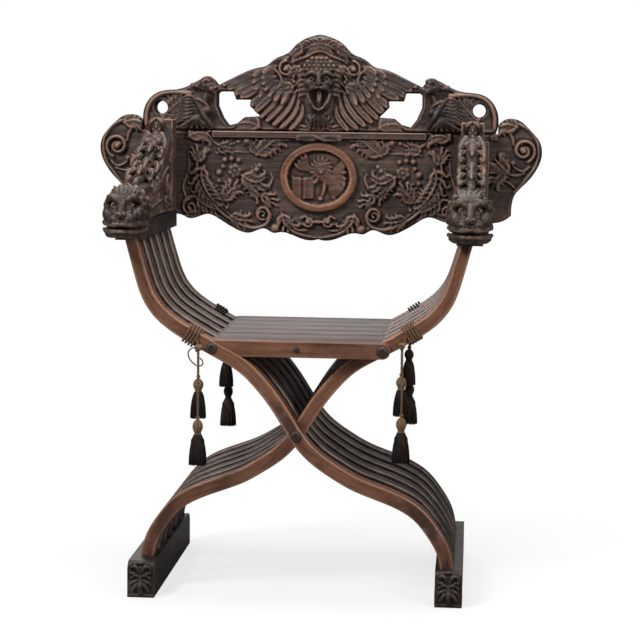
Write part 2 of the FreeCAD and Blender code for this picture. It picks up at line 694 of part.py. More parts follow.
def make_winding():
    """One unbroken cord wound about its own Z axis, with a short straight run at each end."""
    radius, pitch, turns = size("wrap_radius"), size("wrap_pitch"), size("wrap_turns")
    rise = pitch / (2 * math.pi)

    def place(angle):
        return Vector(radius * math.cos(angle), radius * math.sin(angle),
                      rise * angle - pitch * turns / 2)

    def way(angle):
        return Vector(-radius * math.sin(angle), radius * math.cos(angle), rise).normalize()

    quarter = math.pi / 2
    steps = int(4 * turns)
    tail = size("cord_diameter")
    edges = [Part.LineSegment(place(0) - way(0) * tail, place(0)).toShape()]
    for step in range(steps):
        here, there = quarter * step, quarter * (step + 1)
        edges += biarc(place(here), way(here), place(there), way(there))
    last = quarter * steps
    edges.append(Part.LineSegment(place(last), place(last) + way(last) * tail).toShape())
    path = Part.Wire(edges)
    ring = Part.Circle(place(0) - way(0) * tail, way(0), size("cord_diameter") / 2).toShape()
    tube = path.makePipeShell([Part.Wire(ring)], True, False)
    expected = math.pi * (size("cord_diameter") / 2) ** 2 * path.Length
    samples = [place(quarter * step / 6) for step in range(6 * steps + 1)]
    least = min(
        (first - second).Length
        for index, first in enumerate(samples) for second in samples[index + 12:]
    )
    print(f"winding: volume {tube.Volume:.1f} of {expected:.1f}, least gap "
          f"{least - size('cord_diameter'):.2f}")
    return tube


def make_tassel(name, length, place):
    radius = size("tassel_radius")
    points = [Vector(across * radius, -down * length, 0) for across, down in TASSEL_SHARES]
    top, base = Vector(0, 0, 0), Vector(0, -length, 0)
    body = doc.addObject("PartDesign::Body", name)
    curves = [Part.LineSegment(top, points[0]), spline(points)]
    curves += polyline([points[-1], base, top])
    sketch = sketch_in(body, name + "Outline", "XZ_Plane", curves)
    turned = body.newObject("PartDesign::Revolution", name + "Turned")
    turned.Profile = sketch
    turned.ReferenceAxis = (sketch, ["V_Axis"])
    body.Tip = turned
    body.Placement = FreeCAD.Placement(place, FreeCAD.Rotation())
    return body


def make_tassel_pair(side, word, end, end_word, plane, winding):
    """A cord wound on a rib, and the two knotted cords with tassels that swing under it."""
    centre = rib_centreline()
    reach = size("seat_rod_reach") + size(f"{word}_wrap_outset")
    line = Part.LineSegment(Vector(-reach, 0, 0), Vector(-reach, rail_base, 0))
    hit = max(centre.intersect(line), key=lambda point: point.Y)
    point = Vector(hit.X, hit.Y, 0)
    along = centre.tangent(centre.parameter(point))[0]
    middle = plane_centre(plane)
    coil = doc.addObject("Part::Feature", f"{word}{end_word}Winding")
    coil.Shape = winding.copy()
    coil.Placement = FreeCAD.Placement(
        Vector(-side * point.x, middle, point.y),
        FreeCAD.Rotation(Vector(0, 0, 1), Vector(-side * along.x, 0, along.y)))
    beside = size("wrap_pitch") * size("wrap_turns") / 2 + size("cord_diameter") / 2
    beside += size("knot_radius") + size("knot_clearance")
    knot = point + along * beside - Vector(-along.y, along.x, 0) * size("knot_drop")
    advance = size("rib_thick") / 2 + size("knot_radius") + size("knot_clearance")
    first = Vector(-side * knot.x, middle + end * advance, knot.y)
    second = first + Vector(0, end * size("knot_spread"), 0)
    name = f"{word}{end_word}"
    pieces = [cylinder(name + "Bridge", first, Vector(0, end, 0), "cord_diameter / 2",
                       "knot_spread")]
    tassels = []
    for knot, shift, length_word, tassel in (
        (first, -1, "upper_cord_length", "upper_tassel_length"),
        (second, 1, "lower_cord_length", "lower_tassel_length"),
    ):
        ball = doc.addObject("Part::Sphere", name + "Knot")
        bind(ball, Radius="knot_radius")
        ball.Placement = FreeCAD.Placement(knot, FreeCAD.Rotation())
        top = knot + Vector(shift * size("cord_offset"), 0, 0)
        cord = cylinder(name + "Cord", top, Vector(0, 0, -1), "cord_diameter / 2", length_word)
        pieces += [ball, cord]
        base = top - Vector(0, 0, size(length_word))
        tassels.append(make_tassel(name + "Tassel", size(tassel), base))
    keep(f"{word}_{end_word}_tassel_cords", fuse(name + "Cords", pieces))
    keep(f"{word}_{end_word}_tassels", compound(name + "Tassels", tassels))
    print(f"{word} {end_word} tassel pivot at {first.x:.1f} {first.y:.1f} {first.z:.1f}")
    return coil


for side, word, other in ((-1, "left", "right"), (1, "right", "left")):
    make_frame(side, word, other)
    make_scroll(side, word)
    make_head(side, word)
    make_post(side, word)
    for number in range(int(size("rib_count"))):
        make_slat(side, number)
make_rod("pivot_rod", 0, size("pivot_height"), 0, 1)
make_rod("left_seat_rod", -size("seat_rod_reach"), size("seat_rod_height"), 0, 1)
make_rod("right_seat_rod", size("seat_rod_reach"), size("seat_rod_height"), 1, 0)
make_centre_pins()
make_cleats()
make_board()
make_carvings()
winding = make_winding()
for side, word in ((-1, "left"), (1, "right")):
    first_plane = 0 if side < 0 else 1
    last_plane = first_plane + plane_count - 2
    coils = [
        make_tassel_pair(side, word, -1, "front", first_plane, winding),
        make_tassel_pair(side, word, 1, "rear", last_plane, winding),
    ]
    keep(f"{word}_cord_wraps", compound(word + "Wraps", coils))

doc.recompute()
faults = [item.Name for item in doc.Objects if {"Invalid", "Error"} & set(item.State)]
for node, item in nodes.items():
    if item.Shape.isNull() or not item.Shape.isValid() or not item.Shape.Solids:
        faults.append(node)
if faults:
    raise RuntimeError("failed pieces: " + ", ".join(faults))

os.makedirs("parts", exist_ok=True)
for node, item in nodes.items():
    item.Shape.exportStep(f"parts/{node}.step")
box_all = Part.makeCompound([item.Shape for item in nodes.values()]).BoundBox
print(f"{len(nodes)} pieces, box {box_all.XLength:.1f} x {box_all.YLength:.1f} x "
      f"{box_all.ZLength:.1f} from {box_all.XMin:.1f} {box_all.YMin:.1f} {box_all.ZMin:.1f}")
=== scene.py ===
import json
import math

import bmesh
import bpy
import numpy as np
from mathutils import Euler, Matrix, Vector, geometry


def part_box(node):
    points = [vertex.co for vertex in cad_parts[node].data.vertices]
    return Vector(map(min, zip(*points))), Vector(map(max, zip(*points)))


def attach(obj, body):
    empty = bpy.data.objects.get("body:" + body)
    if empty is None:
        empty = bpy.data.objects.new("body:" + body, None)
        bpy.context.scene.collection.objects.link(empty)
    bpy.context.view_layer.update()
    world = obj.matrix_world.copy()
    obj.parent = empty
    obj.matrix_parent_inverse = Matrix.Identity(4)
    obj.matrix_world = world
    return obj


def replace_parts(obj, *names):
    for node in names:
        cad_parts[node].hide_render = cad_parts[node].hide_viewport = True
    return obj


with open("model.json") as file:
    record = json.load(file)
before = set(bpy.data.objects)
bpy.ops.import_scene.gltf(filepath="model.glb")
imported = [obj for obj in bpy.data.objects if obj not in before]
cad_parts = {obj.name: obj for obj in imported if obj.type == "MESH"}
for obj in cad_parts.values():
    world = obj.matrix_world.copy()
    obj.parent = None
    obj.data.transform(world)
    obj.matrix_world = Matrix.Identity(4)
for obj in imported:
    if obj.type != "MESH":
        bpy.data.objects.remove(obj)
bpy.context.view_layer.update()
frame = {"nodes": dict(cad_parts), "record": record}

MM = 0.001
SIDES = (("left", -1), ("right", 1))
rng = np.random.default_rng(7)


# Node trees
class Value:
    """A socket; sums and products of it add Math nodes."""

    def __init__(self, owner, socket):
        self.owner = owner
        self.socket = socket

    def math(self, operation, first, second=0.0):
        return self.owner.node("ShaderNodeMath", {"operation": operation}, {0: first, 1: second})

    def __add__(self, other):
        return self.math("ADD", self, other)

    def __sub__(self, other):
        return self.math("SUBTRACT", self, other)

    def __rsub__(self, other):
        return self.math("SUBTRACT", other, self)

    def __mul__(self, other):
        return self.math("MULTIPLY", self, other)

    def __truediv__(self, other):
        return self.math("DIVIDE", self, other)

    __radd__ = __add__
    __rmul__ = __mul__

    def power(self, exponent):
        return self.math("POWER", self, exponent)

    def sine(self):
        return self.math("SINE", self)

    def within(self, low, high):
        """0 below low, 1 above high, smooth between."""
        return self.owner.node(
            "ShaderNodeMapRange", {"interpolation_type": "SMOOTHSTEP"},
            {"Value": self, "From Min": low, "From Max": high})


class Tree:
    """A node tree that is filled one node at a time."""

    def node(self, kind, settings=None, values=None, out=0):
        node = self.tree.nodes.new(kind)
        for key, value in (settings or {}).items():
            if key == "stops":
                elements = node.color_ramp.elements
                for index, (place, colour) in enumerate(value):
                    element = elements[index] if index < 2 else elements.new(place)
                    element.position = place
                    element.color = (*colour, 1)
            else:
                setattr(node, key, value)
        for key, value in (values or {}).items():
            if isinstance(value, Value):
                self.tree.links.new(value.socket, node.inputs[key])
            else:
                node.inputs[key].default_value = value
        return Value(self, node.outputs[out]) if len(node.outputs) else None


class Finish(Tree):
    """The tree of a material, or of the world."""

    def __init__(self, name, make=bpy.data.materials.new):
        self.material = make(name)
        self.material.use_nodes = True
        self.tree = self.material.node_tree
        self.tree.nodes.clear()

    def noise(self, place, scale, detail, rough, distortion=0.0):
        return self.node("ShaderNodeTexNoise", {}, {
            "Vector": place, "Scale": scale, "Detail": detail, "Roughness": rough,
            "Distortion": distortion})

    def stretched(self, place, scale):
        return self.node("ShaderNodeMapping", {}, {"Vector": place, "Scale": scale})

    def mix(self, factor, first, second):
        first, second = ((*colour, 1) if isinstance(colour, tuple) else colour
                         for colour in (first, second))
        return self.node("ShaderNodeMix", {"data_type": "RGBA"},
                         {0: factor, 6: first, 7: second}, out=2)

    def surface(self, colour, rough, height, lift, fixed):
        bump = self.node("ShaderNodeBump", {}, {
            "Height": height, "Strength": lift, "Distance": MM})
        shader = self.node("ShaderNodeBsdfPrincipled", {}, {
            "Base Color": colour, "Roughness": rough, "Normal": bump, **fixed})
        self.node("ShaderNodeOutputMaterial", {}, {"Surface": shader})
        return self.material


WAX_BLOOM = (0.33, 0.30, 0.29)
GRAIN_SCALES = {"X": (5, 60, 60), "Y": (60, 5, 60), "Z": (60, 60, 5), "UV": (5, 60, 1)}


def wood(name, deep, base, worn, grain, shine=0.42, worn_amount=1.0, stained=0.0):
    """Old waxed walnut: streaked grain, paler wood where hands rub it, and painted shade: dark
    colour where the point attribute runs below zero.
    """
    finish = Finish(name)
    if grain == "UV":
        place = finish.node("ShaderNodeUVMap", {"uv_map": "grain"})
    else:
        place = finish.node("ShaderNodeTexCoord", out="Object")
    solid = finish.node("ShaderNodeTexCoord", out="Object")
    along = finish.stretched(place, GRAIN_SCALES[grain])
    streaks = finish.noise(along, 2.6, 5, 0.6, 0.5)
    pores = finish.noise(finish.stretched(along, (1.5, 5, 5)), 5.5, 3, 0.6)
    blotch = finish.noise(solid, 13, 4, 0.6)
    dust = finish.noise(solid, 75, 3, 0.6)
    wear = finish.node("ShaderNodeAttribute", {"attribute_name": "wear"}, out="Fac")
    tone = streaks * 0.75 + blotch * 0.45 + pores * 0.2
    colour = finish.node("ShaderNodeValToRGB", {"stops": [
        (0.42, deep), (0.66, base), (0.95, tuple(0.5 * (b + w) for b, w in zip(base, worn)))]},
        {"Fac": tone})
    rubbed = (wear + (blotch - 0.5) * 0.55 + (dust - 0.5) * 0.5).within(0.18, 0.75) * worn_amount
    # Where the point attribute is below zero the colour is mixed towards near black: painted shade
    # in the recesses of the carving and on faces that neighbouring parts shade, and the ribs'
    # darkening towards the floor.
    shade_and_darkening = (0.0 - wear + (dust - 0.5) * 0.3).within(0.12, 0.8)
    if stained:
        stains = finish.noise(solid, 7, 4, 0.62).within(0.47, 0.63)
        colour = finish.mix(stains * stained, colour, tuple(1.5 * part for part in deep))
    colour = finish.mix(shade_and_darkening * 0.95, colour, tuple(0.15 * part for part in deep))
    colour = finish.mix(rubbed, colour, worn)
    bloom = finish.noise(solid, 31, 3, 0.65).within(0.56, 0.74)
    colour = finish.mix(bloom * 0.16, colour, WAX_BLOOM)
    rough = shine + 0.22 * blotch + shade_and_darkening * 0.2 - rubbed * 0.1
    height = streaks * 0.5 + pores * 0.6 + dust * 0.25
    return finish.surface(colour, rough, height, 0.35, {"Specular IOR Level": 0.4})


# Each wood: deep in the grain, plain, and worn
WOODS = {
    "rib": ((0.010, 0.006, 0.005), (0.036, 0.021, 0.017), (0.29, 0.205, 0.170)),
    "carved": ((0.016, 0.010, 0.009), (0.052, 0.034, 0.030), (0.27, 0.155, 0.110)),
    "seat": ((0.020, 0.015, 0.015), (0.048, 0.036, 0.035), (0.30, 0.225, 0.195)),
    "pale": ((0.034, 0.026, 0.026), (0.098, 0.076, 0.074), (0.34, 0.26, 0.23)),
    "red": ((0.05, 0.020, 0.012), (0.17, 0.074, 0.043), (0.36, 0.185, 0.110)),
    "front": ((0.022, 0.009, 0.006), (0.168, 0.067, 0.036), (0.33, 0.165, 0.097)),
    "book": ((0.018, 0.010, 0.008), (0.090, 0.046, 0.031), (0.33, 0.175, 0.110)),
    # dark: walnut painted near black as the shade on the feet and on the arm rails; the rods share
    # it
    "dark": ((0.004, 0.003, 0.003), (0.013, 0.009, 0.008), (0.12, 0.075, 0.055)),
    # shaded: carved walnut painted darker as shade, for the sculpted pieces
    "shaded": ((0.006, 0.004, 0.004), (0.023, 0.015, 0.013), (0.23, 0.130, 0.090)),
}
FINISHES = (
    ("rib", "rib walnut", "rib", "UV", {}),
    ("front_rib", "front rib walnut", "front", "UV", {"stained": 0.75}),
    # foot: the feet, toes and arm rails, in the walnut painted dark as shade
    ("foot", "blackened walnut", "dark", "Y", {"shine": 0.36}),
    ("sculpted", "sculpted dark walnut", "shaded", "Z", {"shine": 0.34}),
    ("rod", "dark walnut rod", "dark", "Y", {"worn_amount": 0.6}),
    ("carved", "carved dark walnut", "carved", "X", {"shine": 0.38}),
    ("carved_along", "dark walnut along the arm", "carved", "Y", {"shine": 0.38}),
    ("post", "dark walnut upright", "carved", "Z", {"shine": 0.4}),
    ("left_seat", "worn seat walnut", "seat", "X", {"shine": 0.5}),
    ("right_seat", "pale seat walnut", "pale", "X", {"shine": 0.5}),
    ("book", "lion relief walnut", "book", "X", {"shine": 0.36}),
    ("front_slat", "front slat walnut", "front", "X", {"stained": 0.4}),
    ("ring", "rubbed red walnut", "red", "X", {"shine": 0.36}),
)
finishes = {key: wood(name, *WOODS[kind], grain, **rest)
            for key, name, kind, grain, rest in FINISHES}


# Mesh helpers
def linked(name, mesh):
    piece = bpy.data.objects.new(name, mesh)
    bpy.context.scene.collection.objects.link(piece)
    return piece


def piece_from(name, points, faces, finish):
    mesh = bpy.data.meshes.new(name)
    mesh.from_pydata([tuple(point) for point in points], [], [tuple(face) for face in faces])
    mesh.validate()
    mesh.materials.append(finish)
    mesh.shade_smooth()
    return linked(name, mesh)


def turned_out(piece, mark=None):
    """Turns the faces outwards, after which mark may set the sharp edges."""
    shape = bmesh.new()
    shape.from_mesh(piece.data)
    bmesh.ops.recalc_face_normals(shape, faces=shape.faces)
    if mark:
        mark(shape)
    shape.to_mesh(piece.data)
    shape.free()


def set_wear_and_shade(piece, numbers):
    layer = piece.data.attributes.new("wear", "FLOAT", "POINT")
    layer.data.foreach_set("value", np.asarray(numbers, dtype=np.float32))


def set_uv(piece, name, places):
    """A UV map from one place for each point."""
    layer = piece.data.uv_layers.new(name=name)
    corners = np.empty(len(piece.data.loops), dtype=np.int32)
    piece.data.loops.foreach_get("vertex_index", corners)
    layer.data.foreach_set("uv", np.array(places, dtype=np.float32)[corners].ravel())


def body_of_node(node):
    bodies = frame["record"]["behaviour"]["bodies"]
    return next(body for body, members in bodies.items() if node in members)


def rides(piece, body):
    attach(piece, body)
    return piece


def stands_for(piece, node):
    """The piece rides on the node's body and hides the node."""
    rides(piece, body_of_node(node))
    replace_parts(piece, node)


def welded(node):
    """A merged copy of a node's mesh; the node itself is left alone."""
    copy = bmesh.new()
    copy.from_mesh(frame["nodes"][node].data)
    bmesh.ops.remove_doubles(copy, verts=copy.verts, dist=0.01 * MM)
    return copy


SHARP = math.radians(35)
STEEP = math.radians(60)
# Values of the point attribute: rounded strips are worn and paler; slat faces towards their
# neighbours get painted shade.
WORN_STRIP, SLAT_GAP_SHADE = 0.75, -0.9


def worn_copy(node, finish, width, shade_sides=False):
    """The node with its edges rounded by use; the rounded strips are marked as worn, and, when
    asked, the faces across y, towards the neighbouring parts, are marked for painted shade.
    """
    shape = welded(node)
    bmesh.ops.dissolve_limit(shape, angle_limit=math.radians(1.0), verts=shape.verts,
                             edges=shape.edges)
    sharp = [edge for edge in shape.edges
             if len(edge.link_faces) == 2 and edge.is_convex and edge.calc_face_angle() > SHARP]
    rounded = bmesh.ops.bevel(shape, geom=sharp, offset=width * MM, offset_type="OFFSET",
                              segments=3, profile=0.5, affect="EDGES", clamp_overlap=True)
    strips = set(rounded["faces"])
    wear = shape.loops.layers.float.new("wear")
    for face in shape.faces:
        face.smooth = True
        in_gap_shade = shade_sides and abs(face.normal.y) > 0.6
        for loop in face.loops:
            loop[wear] = SLAT_GAP_SHADE if in_gap_shade else WORN_STRIP if face in strips else 0.0
    for edge in shape.edges:
        edge.smooth = len({face in strips for face in edge.link_faces}) == 1
    mesh = bpy.data.meshes.new("worn_" + node)
    shape.to_mesh(mesh)
    shape.free()
    mesh.materials.append(finishes[finish])
    stands_for(linked("worn_" + node, mesh), node)


def rings_of(node, axis):
    """The outline and the holes of the node's nearest face across an axis, longest first."""
    shape = welded(node)
    near = min(vert.co[axis] for vert in shape.verts)
    faces = [face for face in shape.faces
             if max(vert.co[axis] for vert in face.verts) < near + 0.05 * MM]
    inner = set(faces)
    follow = {}
    for face in faces:
        for loop in face.loops:
            if sum(other in inner for other in loop.edge.link_faces) == 1:
                follow[loop.vert.index] = loop.link_loop_next.vert.index
    shape.verts.ensure_lookup_table()
    rings = []
    while follow:
        start, here = follow.popitem()
        ring = [start]
        while here != start:
            ring.append(here)
            here = follow.pop(here)
        rings.append(np.delete([shape.verts[i].co[:] for i in ring], axis, axis=1))
    shape.free()
    return sorted(rings, key=lambda ring: -np.ptp(ring[:, 0]))


def gone_along(line):
    """How far along a line of points each point lies."""
    return np.concatenate([[0], np.cumsum(np.linalg.norm(np.diff(line, axis=0), axis=1))])


def spaced(points, step=None, count=None):
    """Points at even distances along a line of points."""
    places = gone_along(points)
    count = count or max(2, int(math.ceil(places[-1] / step)) + 1)
    wanted = np.linspace(0, places[-1], count)
    return np.stack([np.interp(wanted, places, points[:, k]) for k in range(points.shape[1])], 1)


def tube_faces(rows, sides):
    """Faces of a closed tube of rings of points, with its two ends."""
    faces = []
    for row in range(rows - 1):
        for k in range(sides):
            a, b = row * sides + k, row * sides + (k + 1) % sides
            faces.append((a, b, b + sides, a + sides))
    faces.append(tuple(range(sides))[::-1])
    faces.append(tuple(range((rows - 1) * sides, rows * sides)))
    return faces


# Ribs: swept along the middle of their CAD outline, with rounded worn edges
RIB_STATIONS = 110
RIB_ROUNDING = 2.6 * MM
RIB_WEAR = (0.0, 0.8, 1.0, 1.0, 0.8, 0.0)  # across one rounded edge
# Painted shade on the broad faces of the inner ribs, which their neighbours and the seat shade
RIB_FACE_SHADE = -0.7
# The ribs are painted darker towards the floor, below this height
DARKENED_BELOW = 310 * MM
DARKENING_FADE = 200 * MM
rib_lines = {}


def rib_edges_of(node):
    """The two long edges of a rib's front face, both from the arm to the foot."""
    ring = rings_of(node, 1)[0]
    before = ring - np.roll(ring, 1, axis=0)
    after = np.roll(ring, -1, axis=0) - ring
    turn = np.abs(np.arctan2(before[:, 0] * after[:, 1] - before[:, 1] * after[:, 0],
                             np.sum(before * after, axis=1)))
    corners = sorted(np.argsort(-turn)[:4])
    chains = [np.concatenate([ring[a:b + 1]] if a < b else [ring[a:], ring[:b + 1]])
              for a, b in zip(corners, corners[1:] + corners[:1])]
    chains = sorted(chains, key=lambda chain: -len(chain))[:2]
    return [spaced(chain if chain[0, 1] > chain[-1, 1] else chain[::-1], count=RIB_STATIONS)
            for chain in chains]


def rib_section(half_width, half_thick, radius):
    """Points round a rounded rectangle, with a point on the flat each side of a corner."""
    points = []
    for across, deep, start in ((1, 1, 0), (-1, 1, 90), (-1, -1, 180), (1, -1, 270)):
        centre = np.array([across * (half_width - radius), deep * (half_thick - radius)])
        angles = np.radians(start + 30 * np.arange(4))
        cos, sin = np.cos(angles), np.sin(angles)
        corner = centre + radius * np.stack([cos, sin], 1)
        onward = 1.2 * radius * np.stack([-sin, cos], 1)
        points += [corner[0] - onward[0], *corner, corner[-1] + onward[-1]]
    return np.array(points)


def make_rib(node):
    low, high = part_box(node)
    upper, lower = rib_edges_of(node)
    centre = rib_lines[node] = (upper + lower) / 2
    across = upper - lower
    widths = np.linalg.norm(across, axis=1)
    across /= widths[:, None]
    middle_y, half_thick = (low[1] + high[1]) / 2, (high[1] - low[1]) / 2
    along = gone_along(centre)
    shift = rng.uniform(0, 5)
    inner = not node.endswith("_1")
    points, wear, grain = [], [], []
    for station in range(RIB_STATIONS):
        chip = 0.25 * MM * math.sin(along[station] * 90 + shift * 7)
        section = rib_section(widths[station] / 2, half_thick,
                              RIB_ROUNDING + chip + 0.3 * MM * rng.normal())
        side, deep = section.T
        places = centre[station] + across[station] * side[:, None]
        points.append(np.stack([places[:, 0], middle_y + deep, places[:, 1]], 1))
        grain.append(np.stack([0 * deep + along[station] + shift, gone_along(section)], 1))
        worn = np.array(RIB_WEAR * 4)
        # Inner ribs: painted shade on their broad faces, and a little painted shade all over
        if inner:
            shaded_rib_face = (np.abs(deep) > half_thick - 0.3 * MM) & (worn < 0.5)
            worn = np.where(shaded_rib_face, RIB_FACE_SHADE, worn - 0.08)
        # Darker towards the floor, more so on the inner ribs
        darkening = np.clip((DARKENED_BELOW - centre[station][1]) / DARKENING_FADE, 0, 1)
        wear.append(worn - darkening * (0.55 if inner else 0.38))
    piece = piece_from("shaped_" + node, np.vstack(points), tube_faces(RIB_STATIONS, len(section)),
                       finishes["rib" if inner else "front_rib"])
    turned_out(piece)
    set_wear_and_shade(piece, np.concatenate(wear))
    set_uv(piece, "grain", np.vstack(grain))
    stands_for(piece, node)


for word, _ in SIDES:
    for number in range(1, 7):
        make_rib(f"{word}_rib_{number}")
        front = (word, number) == ("right", 1)
        worn_copy(f"{word}_slat_{number}", "front_slat" if front else word + "_seat", 3.2,
                  shade_sides=not front)
    for part, finish, width in (("arm_rail", "foot", 5), ("seat_rod", "rod", 1.2),
                                ("back_post", "post", 2)):
        worn_copy(f"{word}_{part}", finish, width)
for node, finish, width in (("pivot_rod", "rod", 1.2), ("centre_pins", "rod", 0.6),
                            ("back_cleats", "post", 1.5), ("top_moulding", "carved", 2)):
    worn_copy(node, finish, width)
for node in ("crest_dowels", "left_frame_pegs", "right_frame_pegs"):
    frame["nodes"][node].data.materials.clear()
    frame["nodes"][node].data.materials.append(finishes["rod"])

